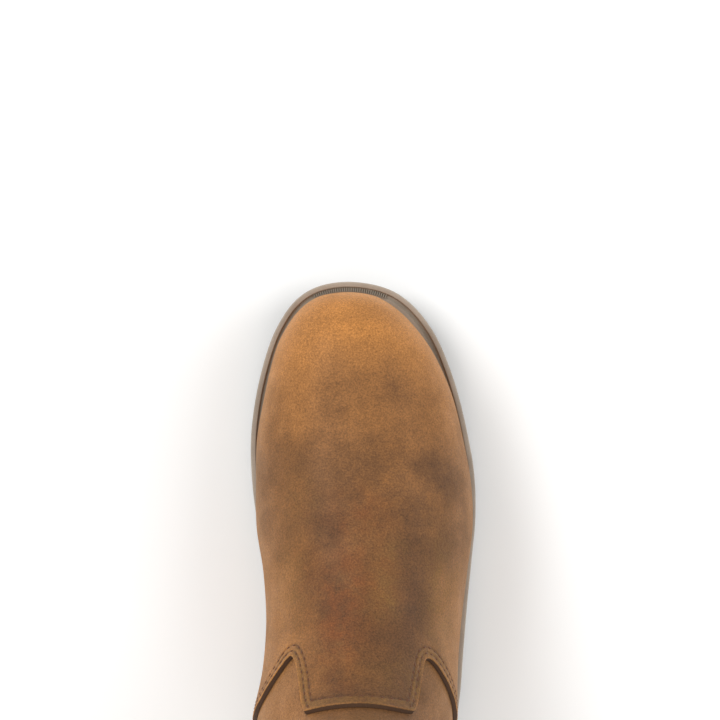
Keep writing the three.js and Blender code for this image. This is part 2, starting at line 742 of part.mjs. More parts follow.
// The origin goes to the floor under the middle of the boot.
const extent = new THREE.Box3().setFromObject(boot);
const middle = extent.getCenter(new THREE.Vector3());
boot.position.set(-middle.x, -middle.y, -extent.min.z);

export default boot;
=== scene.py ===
# Finish of a pull-on work boot for the right foot, standing empty on its sole.
# Metres, +Z up, toe towards +Y, outer side of the foot towards +X.
import math

import bmesh
import bpy
import numpy as np
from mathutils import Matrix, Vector


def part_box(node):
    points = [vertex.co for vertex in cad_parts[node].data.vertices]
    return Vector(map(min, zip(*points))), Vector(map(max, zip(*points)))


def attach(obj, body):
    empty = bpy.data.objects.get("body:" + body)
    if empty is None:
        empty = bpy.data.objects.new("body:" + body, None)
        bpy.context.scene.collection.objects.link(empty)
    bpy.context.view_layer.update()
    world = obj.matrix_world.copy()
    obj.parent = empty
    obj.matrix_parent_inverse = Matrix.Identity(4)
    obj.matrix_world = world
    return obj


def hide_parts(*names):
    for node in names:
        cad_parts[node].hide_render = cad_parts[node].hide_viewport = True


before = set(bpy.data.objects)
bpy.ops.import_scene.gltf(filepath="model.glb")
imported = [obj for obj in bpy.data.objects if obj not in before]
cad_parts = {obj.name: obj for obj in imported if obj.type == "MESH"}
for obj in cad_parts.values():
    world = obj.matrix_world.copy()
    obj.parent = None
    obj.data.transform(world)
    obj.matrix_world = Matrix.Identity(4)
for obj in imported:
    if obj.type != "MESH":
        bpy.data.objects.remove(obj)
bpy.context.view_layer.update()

MM = 0.001

# The sole is the same to both sides and ends of its own middle, which places the sections below.
SOLE_LOW, SOLE_HIGH = (np.array(corner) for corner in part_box("outsole"))
MIDDLE = (SOLE_LOW + SOLE_HIGH) / 2 * (1, 1, 0)

# Driving sizes
BOOT_LENGTH = 312 * MM
BALL_WIDTH = 104 * MM
FOREFOOT_STACK = 20 * MM
HEEL_STACK = 38 * MM
TOE_SPRING = 13 * MM
INSTEP_HEIGHT = 126 * MM
SHAFT_RISE = 137 * MM
SHAFT_DEPTH = 108 * MM
SHAFT_WIDTH = 104 * MM

# Leather
UPPER_WALL = 2.2 * MM
VAMP_LEATHER = 2.2 * MM
COUNTER_LEATHER = 2 * MM
COUNTER_HEIGHT = 62 * MM
SEAM_LEATHER = 1.4 * MM
SEAM_WIDTH = 15 * MM
BINDING_LEATHER = 1.1 * MM
BINDING_DEPTH = 13 * MM
FIT = 0.3 * MM

# Pull straps
STRAP_WIDTH = 24 * MM
STRAP_THICKNESS = 1.8 * MM
STRAP_STAND_UP = 18 * MM
STRAP_BULGE = 4.5 * MM
STRAP_OUTSIDE = 46 * MM
STRAP_INSIDE = 34 * MM
STRAP_EDGE = 0.2
STRAP_EDGE_THIN = 0.25 * STRAP_THICKNESS
STRAP_LIFT = 2 * FIT + max(BINDING_LEATHER, SEAM_LEATHER)
STRAP_HALF_TURN = math.degrees(STRAP_WIDTH / SHAFT_WIDTH)
SIDES = {-1: "medial", 1: "lateral"}

# Sole
OUTSOLE_THICKNESS = 10 * MM
HEEL_RUBBER = 21 * MM
ARCH_LIFT = 9 * MM
LIP_WIDTH = 2.6 * MM
GROOVE_WIDTH = 2 * MM
LIP_HEIGHT = 1.1 * MM
GROOVE_DEPTH = 0.7 * MM
LIP_ROUND = 0.8 * MM
LIP_INNER_ROUND = 0.4 * MM
GROOVE_WALL = 0.4 * MM
SOLE_GAP = 0.05 * MM
RIB_PITCH = 1.1 * MM
RIB_WIDTH = 0.72 * RIB_PITCH
RIB_LENGTH = GROOVE_WIDTH + 0.6 * MM
RIB_HEIGHT = GROOVE_DEPTH + 0.4 * LIP_HEIGHT
RIB_TAPER = 0.55
RIB_SUNK = 0.2 * MM
SIDE_STEP = 1.2 * MM
HEEL_BREAST = 0.7
BREAST_SLOPE = 0.014
LUG_DEPTH = 4 * MM
LUG_GAP = 6 * MM
LUG_PITCH = 15 * MM
LUG_SKEW = 0.22
LUG_DRAFT = 0.9 * MM
CENTRE_BAR = 7 * MM
TREAD_START = 0.06
TREAD_END = 0.43
HEEL_TREAD_END = 0.93
INSOLE_THICKNESS = 4 * MM
INSOLE_DISH = 0.9 * MM
INSOLE_SUNK = 0.6 * MM

# Places along the boot, as shares of BOOT_LENGTH from the toe
SEAM_AT = 0.82
HEEL_LINE = 0.985
HEEL_AXIS = 0.87
COUNTER_CORNER = 0.7815

# Sections of the form, counted from the nose, and how much of one the collar dips at the sides
INSTEP = 14
HEEL_SEAT = 16.4
COLLAR_DIP = 0.12

# Stitches and cut edges. The rows are told by their distance from the edge. A waver is how far a
# stitch may turn out of its row, in radians.
STITCH_ROWS = (2.6 * MM, 5.6 * MM)
SEAM_STITCHES = (2.2 * MM,)
BINDING_STITCHES = (2.4 * MM,)
STITCH_PITCH = 4.5 * MM
FINE_PITCH = 3.4 * MM
WAVER = 0.06
FINE_WAVER = 0.05
STITCH_LENGTH = 0.52 * STITCH_PITCH
THREAD = 0.85 * MM
THREAD_RISE = 0.5 * MM
STITCH_SINK = 0.35 * MM
STITCH_DIP = 0.75 * MM
STITCH_SLACK = 0.2 * MM
STITCH_BOX = 0.74
STITCH_BOX_ENDS = (3 * MM - STRAP_OUTSIDE, -5 * MM)
SOLE_CLEARANCE = 2.5 * MM
EDGE_ROUND = 0.5 * MM
EDGE_SKIVE = 0.55 * MM

# Section of the lasted form from nose to heel seat. Lengths run from the toe and are shares of
# BOOT_LENGTH, heights are shares of INSTEP_HEIGHT above the feather line, widths of BALL_WIDTH.
# Columns: top_at, top_high, back_at, back_high, ridge, inner, outer, widest, top_round, foot_round
FOOT_SECTIONS = np.array([
    (0.0256, 0.105, 0.0256, 0.105, -0.077, 0.0, 0.0, 0.5, 2.0, 2.0),
    (0.0295, 0.19, 0.0295, -0.02, -0.077, 0.106, 0.106, 0.46, 2.1, 2.2),
    (0.0385, 0.26, 0.0385, -0.06, -0.077, 0.168, 0.168, 0.43, 2.2, 2.4),
    (0.053, 0.315, 0.053, -0.09, -0.072, 0.226, 0.226, 0.4, 2.3, 2.6),
    (0.074, 0.37, 0.074, -0.104, -0.064, 0.282, 0.282, 0.38, 2.3, 2.8),
    (0.103, 0.418, 0.103, -0.11, -0.053, 0.34, 0.34, 0.36, 2.3, 2.9),
    (0.141, 0.46, 0.141, -0.11, -0.038, 0.39, 0.39, 0.35, 2.25, 3.0),
    (0.192, 0.5, 0.192, -0.11, -0.024, 0.438, 0.438, 0.34, 2.2, 3.0),
    (0.256, 0.544, 0.256, -0.11, -0.017, 0.478, 0.478, 0.34, 2.15, 3.0),
    (0.327, 0.596, 0.327, -0.11, 0.0, 0.499, 0.499, 0.34, 2.1, 3.0),
    (0.397, 0.656, 0.397, -0.11, 0.005, 0.5, 0.5, 0.35, 2.05, 2.9),
    (0.4615, 0.72, 0.474, -0.11, 0.008, 0.468, 0.468, 0.38, 2.0, 2.8),
    (0.519, 0.78, 0.57, -0.11, 0.0, 0.444, 0.444, 0.41, 2.0, 2.7),
    (0.5705, 0.844, 0.672, -0.11, -0.018, 0.442, 0.442, 0.44, 2.0, 2.7),
    (0.6155, 0.915, 0.785, -0.1, -0.02, 0.486, 0.44, 0.47, 2.0, 2.9),
    (0.6475, 1.0, 0.895, -0.08, -0.02, 0.49, 0.43, 0.48, 2.0, 3.3),
])

# Sections of the shaft. Front lengths are shares of SHAFT_DEPTH ahead of the heel line, back lengths
# of BOOT_LENGTH from the toe, heights of SHAFT_RISE above the instep at the front and of the whole
# back from heel seat to collar at the back, and widths of SHAFT_WIDTH. Columns as above.
SHAFT_SECTIONS = np.array([
    (0.933, 0.12, 0.975, -0.01, -0.025, 0.472, 0.43, 0.48, 2.05, 2.9),
    (0.924, 0.245, 0.989, 0.1, -0.03, 0.46, 0.44, 0.49, 2.1, 2.35),
    (0.929, 0.385, 0.985, 0.25, -0.035, 0.462, 0.45, 0.5, 2.1, 2.0),
    (0.943, 0.535, 0.98, 0.425, -0.04, 0.473, 0.467, 0.5, 2.1, 2.0),
    (0.961, 0.69, 0.985, 0.61, -0.044, 0.492, 0.492, 0.5, 2.1, 2.05),
    (0.98, 0.845, 0.993, 0.8, -0.045, 0.506, 0.506, 0.5, 2.1, 2.1),
    (1.0, 1.0, 1.0, 1.0, -0.045, 0.52, 0.52, 0.5, 2.1, 2.1),
])

# Outline of the sole: share of BOOT_LENGTH from the toe, then centre and half width as shares of
# BALL_WIDTH.
SOLE_OUTLINE = np.array([
    (0.0, -0.076, 0.0),
    (0.0045, -0.071, 0.118),
    (0.016, -0.064, 0.212),
    (0.035, -0.058, 0.288),
    (0.061, -0.051, 0.352),
    (0.0945, -0.044, 0.409),
    (0.138, -0.037, 0.458),
    (0.189, -0.03, 0.5),
    (0.25, -0.02, 0.533),
    (0.314, -0.003, 0.548),
    (0.385, 0.012, 0.539),
    (0.455, 0.023, 0.509),
    (0.5256, 0.034, 0.476),
    (0.596, 0.03, 0.461),
    (0.667, 0.018, 0.455),
    (0.744, -0.004, 0.445),
    (0.82, -0.022, 0.436),
    (0.885, -0.03, 0.412),
    (0.936, -0.034, 0.352),
    (0.973, -0.034, 0.25),
    (0.9935, -0.034, 0.13),
    (1.0, -0.034, 0.0),
])

# Heights along the sole: share of BOOT_LENGTH from the toe, then how much of the toe spring, of the
# heel's extra height and of the arch there is.
SOLE_RISE = np.array([
    (0.0, 1.0, 0.0, 0.0),
    (0.06, 0.6, 0.0, 0.0),
    (0.13, 0.27, 0.0, 0.0),
    (0.2, 0.06, 0.0, 0.0),
    (0.25, 0.0, 0.0, 0.0),
    (0.42, 0.0, 0.0, 0.0),
    (0.5, 0.0, 0.08, 0.3),
    (0.6, 0.0, 0.34, 0.9),
    (0.7, 0.0, 0.72, 1.0),
    (0.8, 0.0, 0.96, 1.0),
    (0.9, 0.0, 1.0, 1.0),
    (1.0, 0.0, 1.0, 1.0),
])
SPRING, HEEL, ARCH = 1, 2, 3

# Back edge of the vamp: turn in degrees from the ridge, place in sections from the nose. It has a
# squared tongue tab between two notches, and a wing down each side.
VAMP_EDGE = np.array([
    (-180, 13.6),
    (-135, 13.78),
    (-105, 13.9),
    (-82, 13.88),
    (-66, 13.7),
    (-52, 13.24),
    (-46.5, 13.04),
    (-43.5, 12.98),
    (-41, 13.06),
    (-37, 13.36),
    (-32.6, 13.96),
    (-30.3, 14.58),
    (-28.6, 14.86),
    (5, 14.91),
    (31.6, 14.76),
    (33.8, 14.62),
    (35.6, 14.22),
    (37.9, 13.57),
    (40.2, 13.12),
    (44, 13.03),
    (48, 13.08),
    (61, 13.38),
    (78, 13.7),
    (105, 13.88),
    (135, 13.78),
    (180, 13.6),
])

# Side outline of the heel counter: shares of BOOT_LENGTH from the toe and of COUNTER_HEIGHT above the
# feather line.
COUNTER_OUTLINE = np.array([
    (0.772, -0.3),
    (0.782, 0.1),
    (0.805, 0.4),
    (0.85, 0.68),
    (0.905, 0.87),
    (0.96, 0.97),
    (1.06, 1.02),
])


# Smooth curves through tables
def rows_at(rows, place):
    """A smooth row between the rows of a table, which has one more row before and after."""
    place = np.asarray(place, float)
    first = np.clip(np.floor(place).astype(int), 0, len(rows) - 4)
    t = (place - first)[..., None]
    a, b, c, d = (rows[first + k] for k in range(4))
    square = 2 * a - 5 * b + 4 * c - d
    cube = 3 * b - a - 3 * c + d
    return 0.5 * (2 * b + (c - a) * t + square * t ** 2 + cube * t ** 3)


def value_at(table, at, column):
    """A column of a table at some place, smooth and never beyond its neighbours."""
    xs, ys = table[:, 0], table[:, column]
    at = np.clip(at, xs[0], xs[-1])
    i = np.clip(np.searchsorted(xs, at, side="left") - 1, 0, len(xs) - 2)
    secant = np.diff(ys) / np.diff(xs)
    before, after = secant[:-1], secant[1:]
    limit = 3 * np.minimum(abs(before), abs(after))
    inner = np.sign(after) * np.minimum(abs(before + after) / 2, limit)
    slope = np.concatenate([secant[:1], np.where(before * after > 0, inner, 0), secant[-1:]])
    step = xs[i + 1] - xs[i]
    t = (at - xs[i]) / step
    low = (2 * t ** 3 - 3 * t ** 2 + 1) * ys[i] + (t ** 3 - 2 * t ** 2 + t) * step * slope[i]
    return low + (3 * t ** 2 - 2 * t ** 3) * ys[i + 1] + (t ** 3 - t ** 2) * step * slope[i + 1]


def soft(value, start, end):
    """0 before start, 1 after end, smooth between."""
    t = np.clip((value - start) / (end - start), 0, 1)
    return t * t * (3 - 2 * t)


def y_at(at):
    return BOOT_LENGTH / 2 - at * BOOT_LENGTH


def share_at(y):
    return 0.5 - y / BOOT_LENGTH


def rise(y, column):
    return value_at(SOLE_RISE, share_at(y), column)


def feather_z(y):
    """Where the upper stands on the sole."""
    return FOREFOOT_STACK + TOE_SPRING * rise(y, SPRING) + (HEEL_STACK - FOREFOOT_STACK) * rise(y, HEEL)


def midsole_z(y):
    heel = (HEEL_RUBBER - OUTSOLE_THICKNESS) * rise(y, HEEL)
    return OUTSOLE_THICKNESS + TOE_SPRING * rise(y, SPRING) + heel


def tread_z(y):
    return TOE_SPRING * rise(y, SPRING) + ARCH_LIFT * rise(y, ARCH)


# The lasted form, with a section before the nose and one past the collar
def foot_rows():
    top_at, top_high, back_at, back_high, ridge, inner, outer, *shape = FOOT_SECTIONS.T
    top_y, back_y = y_at(top_at), y_at(back_at)
    top_z = feather_z(top_y) + top_high * INSTEP_HEIGHT
    back_z = feather_z(back_y) + back_high * INSTEP_HEIGHT
    sides = [ridge * BALL_WIDTH, inner * BALL_WIDTH, outer * BALL_WIDTH]
    return np.column_stack([top_y, back_y, top_z, back_z, *sides, *shape])


def shaft_rows():
    front_at, front_high, back_at, back_high, ridge, inner, outer, *shape = SHAFT_SECTIONS.T
    base = feather_z(y_at(FOOT_SECTIONS[-1, 0])) + INSTEP_HEIGHT
    front_y, back_y = y_at(HEEL_LINE) + front_at * SHAFT_DEPTH, y_at(back_at)
    front_z = base + front_high * SHAFT_RISE
    back_z = HEEL_STACK + back_high * (base + SHAFT_RISE - HEEL_STACK)
    sides = [ridge * SHAFT_WIDTH, inner * SHAFT_WIDTH, outer * SHAFT_WIDTH]
    return np.column_stack([front_y, back_y, front_z, back_z, *sides, *shape])


def with_ends(body):
    before = body[1].copy()
    before[[2, 3]] = before[[3, 2]]
    before[[5, 6]] *= -1
    return np.vstack([before, body, 2 * body[-1] - body[-2]])


FORM_ROWS = with_ends(np.vstack([foot_rows(), shaft_rows()]))
COLLAR = len(FORM_ROWS) - 3
OUTLINE_ROWS = np.vstack([
    SOLE_OUTLINE[1] * (1, 1, -1),
    SOLE_OUTLINE,
    SOLE_OUTLINE[-2] * (1, 1, -1),
])
OUTLINE_PLACES = np.linspace(0, len(OUTLINE_ROWS) - 3, 800)


def form_point(place, turn):
    """A point of the form: place counts sections from the nose, turn is 0 on the ridge, in degrees."""
    place, turn = np.broadcast_arrays(np.asarray(place, float), np.radians(turn))
    rows = rows_at(FORM_ROWS, place)
    top_y, back_y, top_z, back_z, *sides, top_round, foot_round = np.moveaxis(rows, -1, 0)
    ridge, inner, outer, widest = sides
    c, s = np.cos(turn), np.sin(turn)
    power = np.where(c >= 0, top_round, foot_round)
    reach = (abs(c) ** power + abs(s) ** power) ** (-1 / power)
    up = np.where(c >= 0, widest + (1 - widest) * c * reach, widest * (1 + c * reach))
    x = ridge + s * reach * np.where(s > 0, outer, inner)
    return np.stack([x, back_y + (top_y - back_y) * up, back_z + (top_z - back_z) * up], -1)


def unit(vectors):
    return vectors / np.linalg.norm(vectors, axis=-1, keepdims=True)


def form_normal(place, turn):
    place, turn = np.broadcast_arrays(np.asarray(place, float), np.asarray(turn, float))
    step, step_turn = 0.02, 1.0
    along = form_point(place + step, turn) - form_point(place - step, turn)
    around = form_point(place, turn + step_turn) - form_point(place, turn - step_turn)
    normal = np.cross(along, around)
    normal[place < step] = (0, 1, 0)
    return unit(normal)


# Creases, given one by one: the place and turn of the middle, half its length in degrees of turn, how
# far it slants (sections for each degree), half its width in sections and its depth. A negative
# depth is a ridge. The first ones cross the flex of the vamp, then the bend at the instep, and the
# last ones fold the ankle of the shaft.
# Columns: place, turn, half_turn, slant, half_width, depth
CREASES = np.array([
    (9.35, -14, 62, 0.004, 0.34, 0.35 * MM),
    (9.95, 6, 70, -0.003, 0.36, -0.3 * MM),
    (10.5, 18, 60, -0.004, 0.32, 0.45 * MM),
    (11.1, -20, 48, 0.006, 0.3, 0.3 * MM),
    (11.75, 36, 30, -0.012, 0.35, 0.5 * MM),
    (12.3, -44, 26, 0.014, 0.35, 0.6 * MM),
    (12.35, 60, 26, -0.01, 0.4, 0.6 * MM),
    (13.5, 0, 24, 0.0, 0.5, 0.5 * MM),
    (14.9, 88, 34, -0.006, 0.28, 2.4 * MM),
    (14.4, -90, 34, 0.006, 0.28, 2.4 * MM),
    (15.65, 98, 46, -0.007, 0.28, -1.8 * MM),
    (15.25, -98, 44, 0.008, 0.28, -1.8 * MM),
    (16.3, 84, 58, -0.009, 0.22, 3.8 * MM),
    (16.05, -86, 56, 0.009, 0.22, 3.6 * MM),
    (16.8, 92, 50, -0.007, 0.24, -2.0 * MM),
    (16.6, -94, 48, 0.008, 0.24, -1.9 * MM),
    (17.25, 112, 50, 0.008, 0.2, 3.2 * MM),
    (17.05, -108, 52, -0.008, 0.2, 3.2 * MM),
    (16.95, 10, 46, 0.004, 0.26, -1.6 * MM),
    (17.5, -30, 56, 0.007, 0.2, 3.0 * MM),
    (17.8, 40, 52, -0.01, 0.2, 2.6 * MM),
    (18.1, -60, 44, 0.008, 0.26, -1.2 * MM),
    (18.6, 70, 56, -0.008, 0.26, 2.0 * MM),
    (18.85, -74, 60, 0.007, 0.26, 2.0 * MM),
    (19.6, 120, 44, 0.006, 0.34, 1.4 * MM),
    (18.0, 176, 40, 0.003, 0.34, 1.8 * MM),
])
CREASES_FROM, CREASES_FULL = -4 * MM, 24 * MM


def crease(place, turn):
    """How far the creases press a point of the form inwards. The stiff heel counter has none."""
    place, turn = np.broadcast_arrays(np.asarray(place, float), np.asarray(turn, float))
    depth = np.zeros(place.shape)
    for middle, middle_turn, half_turn, slant, half_width, deep in CREASES:
        off = (turn - middle_turn + 180) % 360 - 180
        across = (place - middle - slant * off) / half_width
        fade = 1 - soft(abs(off), 0.35 * half_turn, half_turn)
        depth += deep * fade * np.exp(-across ** 2)
    point = form_point(place, turn)
    over_counter = point[..., 2] - counter_top(point[..., 1])
    return depth * soft(over_counter, CREASES_FROM, CREASES_FULL)


def skin(place, turn, offset):
    """A point over the creased form, in the boot's own place."""
    lift = np.asarray(offset - crease(place, turn))
    return form_point(place, turn) + lift[..., None] * form_normal(place, turn) + MIDDLE


def collar_edge(turn):
    return COLLAR - COLLAR_DIP * np.sin(np.radians(turn)) ** 2


def vamp_edge(turn):
    return value_at(VAMP_EDGE, turn, 1)


def over_collar(turn, high, offset):
    """A point by the collar: high runs along the shaft from its edge, upwards when positive."""
    a_section = np.linalg.norm(form_point(COLLAR, turn) - form_point(COLLAR - 1, turn), axis=-1)
    return skin(collar_edge(turn) + high / a_section, turn, offset)


# Meshes
def in_scene(name, data):
    """A new object of the scene."""
    thing = bpy.data.objects.new(name, data)
    bpy.context.scene.collection.objects.link(thing)
    return thing


def mesh_piece(name, points, faces, smooth=True):
    mesh = bpy.data.meshes.new(name)
    mesh.from_pydata(np.asarray(points).reshape(-1, 3).tolist(), [], faces)
    mesh.validate()
    for polygon in mesh.polygons:
        polygon.use_smooth = smooth
    return in_scene(name, mesh)


def grid_faces(rows, columns, closed_rows=False, closed_columns=True, first=0):
    """Quads between rows of points, whose order faces outwards when rows go on and columns turn."""
    faces = []
    for i in range(rows if closed_rows else rows - 1):
        a, b = first + i * columns, first + (i + 1) % rows * columns
        for j in range(columns if closed_columns else columns - 1):
            k = (j + 1) % columns
            faces.append((a + j, b + j, b + k, a + k))
    return faces


def turned(faces):
    return [face[::-1] for face in faces]


def pole_faces(around, pole, last):
    """Triangles from a pole to the first ring, and from the next pole to the ring that starts at last."""
    faces = []
    for j in range(around):
        k = (j + 1) % around
        faces += [(pole, j, k), (pole + 1, last + k, last + j)]
    return faces


def rim_faces(rows, columns):
    """Quads round the border of one grid of points and of a second one that follows it."""
    index = np.arange(rows * columns).reshape(rows, columns)
    rim = np.concatenate([index[0], index[1:, -1], index[-1, -2::-1], index[-2:0:-1, 0]])
    count = rows * columns
    return [(int(a), int(b), int(b) + count, int(a) + count) for a, b in zip(rim, np.roll(rim, -1))]


def band_faces(around, first, second):
    """Quads between two rings of points, given by where each starts."""
    turns = [(j, (j + 1) % around) for j in range(around)]
    return [(first + j, second + j, second + k, first + k) for j, k in turns]


def finish_mesh(piece, sharp=38, merge=True):
    """Merges doubles, turns the faces outwards and keeps the sharp edges sharp."""
    bm = bmesh.new()
    bm.from_mesh(piece.data)
    if merge:
        bmesh.ops.remove_doubles(bm, verts=bm.verts, dist=0.01 * MM)
    bmesh.ops.recalc_face_normals(bm, faces=bm.faces)
    bm.to_mesh(piece.data)
    bm.free()
    piece.data.set_sharp_from_angle(angle=math.radians(sharp))
    return piece


def coordinates(mesh):
    flat = np.empty(3 * len(mesh.vertices))
    mesh.vertices.foreach_get("co", flat)
    return flat.reshape(-1, 3)


def cut_along(piece, level, keep_above=True):
    """Cuts a closed piece along a height that is a function of y, and closes the cut."""
    mesh = piece.data
    points = coordinates(mesh)
    points[:, 2] -= level(points[:, 1] - MIDDLE[1])
    mesh.vertices.foreach_set("co", points.ravel())
    bm = bmesh.new()
    bm.from_mesh(mesh)
    parts = bm.verts[:] + bm.edges[:] + bm.faces[:]
    cut = bmesh.ops.bisect_plane(
        bm, geom=parts, dist=0.001 * MM, plane_co=(0, 0, 0), plane_no=(0, 0, 1),
        clear_inner=keep_above, clear_outer=not keep_above,
    )
    edges = [part for part in cut["geom_cut"] if isinstance(part, bmesh.types.BMEdge)]
    bmesh.ops.triangle_fill(bm, use_beauty=True, use_dissolve=False, edges=edges)
    bm.to_mesh(mesh)
    bm.free()
    points = coordinates(mesh)
    points[:, 2] += level(points[:, 1] - MIDDLE[1])
    mesh.vertices.foreach_set("co", points.ravel())
    mesh.update()
    return piece


def cup(name, places, turns, inside, outside, coarse=1, skive=0.0):
    """A leather cup from the nose to its edge. places is a grid of rings by turns, and outside is one
    offset or one for each of its points. Its cut edge is the second material, its inner skin the
    third. The inner skin has one ring in coarse, and ends past the outer one by the skive."""
    last_place, last_turn = inside_edge(places[-1], turns, -skive, 1) if skive else (places[-1], turns)
    inner_places = np.vstack([places[:-1:coarse], last_place])
    inner_turns = np.vstack([np.broadcast_to(turns, (len(inner_places) - 1, len(turns))), last_turn])
    rings, around = places.shape
    inner_rings = len(inner_places)
    outer = skin(places, turns, outside).reshape(-1, 3)
    inner = skin(inner_places, inner_turns, inside).reshape(-1, 3)
    nose = np.array([skin(0, 0, np.max(outside)), skin(0, 0, inside)])
    first = len(outer)
    faces = grid_faces(rings, around)
    count = len(faces)
    faces += turned(grid_faces(inner_rings, around, first=first))
    inner_count = len(faces)
    faces += band_faces(around, (rings - 1) * around, first + (inner_rings - 1) * around)
    rim_count = len(faces)
    faces += pole_faces(around, first + len(inner), first)
    piece = mesh_piece(name, np.vstack([outer, inner, nose]), faces)
    slots = np.zeros(len(faces), dtype=np.int32)
    slots[count:inner_count] = 2
    slots[inner_count:rim_count] = 1
    slots[rim_count + 1::2] = 2
    piece.data.polygons.foreach_set("material_index", slots)
    return piece


def patch(name, places, turns, inside, outside):
    """A leather patch from grids of places and turns, with a cut edge all round as its second
    material."""
    rows, columns = places.shape
    outer = skin(places, turns, outside).reshape(-1, 3)
    inner = skin(places, turns, inside).reshape(-1, 3)
    first = len(outer)
    faces = grid_faces(rows, columns, closed_columns=False)
    faces += turned(grid_faces(rows, columns, closed_columns=False, first=first))
    count = len(faces)
    faces += rim_faces(rows, columns)
    piece = mesh_piece(name, np.vstack([outer, inner]), faces)
    slots = np.zeros(len(faces), dtype=np.int32)
    slots[count:] = 1
    piece.data.polygons.foreach_set("material_index", slots)
    return piece


def core(name, places, turns, offset):
    """The form at one offset, filled and closed over its last ring."""
    rings, around = places.shape
    body = skin(places, turns, offset).reshape(-1, 3)
    nose = skin(0, 0, offset)
    cap = body[-around:].mean(axis=0)
    faces = grid_faces(rings, around) + pole_faces(around, len(body), (rings - 1) * around)
    return mesh_piece(name, np.vstack([body, nose, cap]), faces)


def loft(name, stations, closed=False):
    """A closed loft of stations that hold the same number of points each, with flat ends."""
    stations = np.asarray(stations)
    rows, columns = stations.shape[:2]
    faces = grid_faces(rows, columns, closed_rows=closed)
    if not closed:
        faces.append(tuple(range(columns)))
        faces.append(tuple(range(rows * columns - 1, (rows - 1) * columns - 1, -1)))
    return mesh_piece(name, stations, faces)


# Small steps for the slope of the form
STEP, STEP_TURN = 1e-3, 1e-2


def settle(place, turn, miss, rounds=14):
    """The place and turn of the form where two misses come to nothing, from a first guess."""
    for _ in range(rounds):
        now = miss(form_point(place, turn))
        by_place = (miss(form_point(place + STEP, turn)) - now) / STEP
        by_turn = (miss(form_point(place, turn + STEP_TURN)) - now) / STEP_TURN
        area = by_place[..., 0] * by_turn[..., 1] - by_place[..., 1] * by_turn[..., 0]
        go_place = (by_turn[..., 0] * now[..., 1] - by_turn[..., 1] * now[..., 0]) / area
        go_turn = (by_place[..., 1] * now[..., 0] - by_place[..., 0] * now[..., 1]) / area
        place = place + np.clip(go_place, -0.5, 0.5)
        turn = turn + np.clip(go_turn, -10, 10)
    return place, turn


def beside(y, z, side):
    """The place and turn of a point of the shaft's side, given by its side view."""
    y, z = np.broadcast_arrays(y, z)
    places = np.linspace(INSTEP, COLLAR, 60)
    guess = np.interp(z, form_point(places, side * 90)[:, 2], places)

    def miss(p):
        return np.stack([p[..., 1] - y, p[..., 2] - z], -1)

    return settle(guess, np.full(z.shape, side * 95.0), miss)


def counter_top(y):
    return feather_z(y) + value_at(COUNTER_OUTLINE, share_at(y), 1) * COUNTER_HEIGHT


def row_places(end, steps):
    """Places of rings from the nose: steps gives how many rings each section has up to a section."""
    places, start = [], 0
    for stop, count in steps:
        stop = min(stop, end)
        places += list(np.arange(start, stop, 1 / count))
        start = stop
    return np.array([place for place in places if place > 0.1] + [end])


# Sole rings
def sole_point(place, side):
    at, centre, half = np.moveaxis(rows_at(OUTLINE_ROWS, place), -1, 0)
    return np.stack([(centre + side * half) * BALL_WIDTH, y_at(at)], -1)


def sole_outline(inset, step=0.1):
    """Plan of the sole at an inset: from the toe down the outer side and back up the inner side."""
    last = len(OUTLINE_ROWS) - 3
    places = np.linspace(0, last, round(last / step) + 1)

    def side_of(side, part):
        small = 0.01
        along = unit(sole_point(part + small, side) - sole_point(part - small, side))
        inward = np.stack([along[..., 1], -along[..., 0]], -1) * side
        return sole_point(part, side) + inset * inward

    return np.vstack([side_of(1, places), side_of(-1, places[-2:0:-1])])


def sole_ring(inset, height_at):
    plan = sole_outline(inset)
    return np.column_stack([plan, height_at(plan[:, 1])]) + MIDDLE


def between(low, high, share):
    return lambda y: low(y) + share * (high(y) - low(y))


def loft_rings(name, rings, slots=()):
    """A closed loft of sole rings, with its two flat ends in strips across. slots gives the material
    of the band above each ring."""
    count = len(rings[0])
    half = count // 2
    faces = turned(grid_faces(len(rings), count))
    last = (len(rings) - 1) * count
    for k in range(half):
        a, b, c, d = k, k + 1, (count - k - 1) % count, (count - k) % count
        corners = [a, b, c, d] if k else [a, b, c]
        if b == c:
            corners = [a, b, d]
        faces.append(tuple(corners))
        faces.append(tuple(last + corner for corner in reversed(corners)))
    piece = mesh_piece(name, np.vstack(rings), faces)
    for band, slot in enumerate(slots):
        for face in range(band * count, (band + 1) * count):
            piece.data.polygons[face].material_index = slot
    return piece


def cut_away(piece, cutter):
    """Takes a closed cutter out of a piece, and deletes the cutter."""
    modifier = piece.modifiers.new("cut", "BOOLEAN")
    modifier.operation = "DIFFERENCE"
    modifier.solver = "MANIFOLD"
    modifier.object = cutter
    baked = bake(piece)
    bpy.data.objects.remove(cutter)
    return baked


def bake(piece):
    """Makes a piece's modifiers part of its mesh."""
    graph = bpy.context.evaluated_depsgraph_get()
    graph.update()
    evaluated = piece.evaluated_get(graph)
    mesh = bpy.data.meshes.new_from_object(evaluated, preserve_all_data_layers=True, depsgraph=graph)
    piece.modifiers.clear()
    piece.data = mesh
    return piece


# Rings and turns of the leather pieces. The vamp has fine turns beside its tongue tab, and its rings
# crowd towards its edge, which is rounded.
TURNS = np.linspace(-180, 180, 161)[:-1]
UPPER_STEPS = ((6, 3), (12, 5), (COLLAR, 11))
VAMP_EDGE_FROM = 12
VAMP_STEPS = ((6, 4), (10, 7), (VAMP_EDGE_FROM, 12))
VAMP_TURNS = np.concatenate([
    np.arange(-180, -54, 3), np.arange(-54, -18, 0.45), np.arange(-18, 18, 1.5),
    np.arange(18, 54, 0.45), np.arange(54, 180, 3),
])
TAB_CORNERS = (-28.6, 32.0)
EDGE_RINGS = np.concatenate([np.linspace(0, 1, 76)[1:-1], [0.9925, 0.9965, 1.0]])


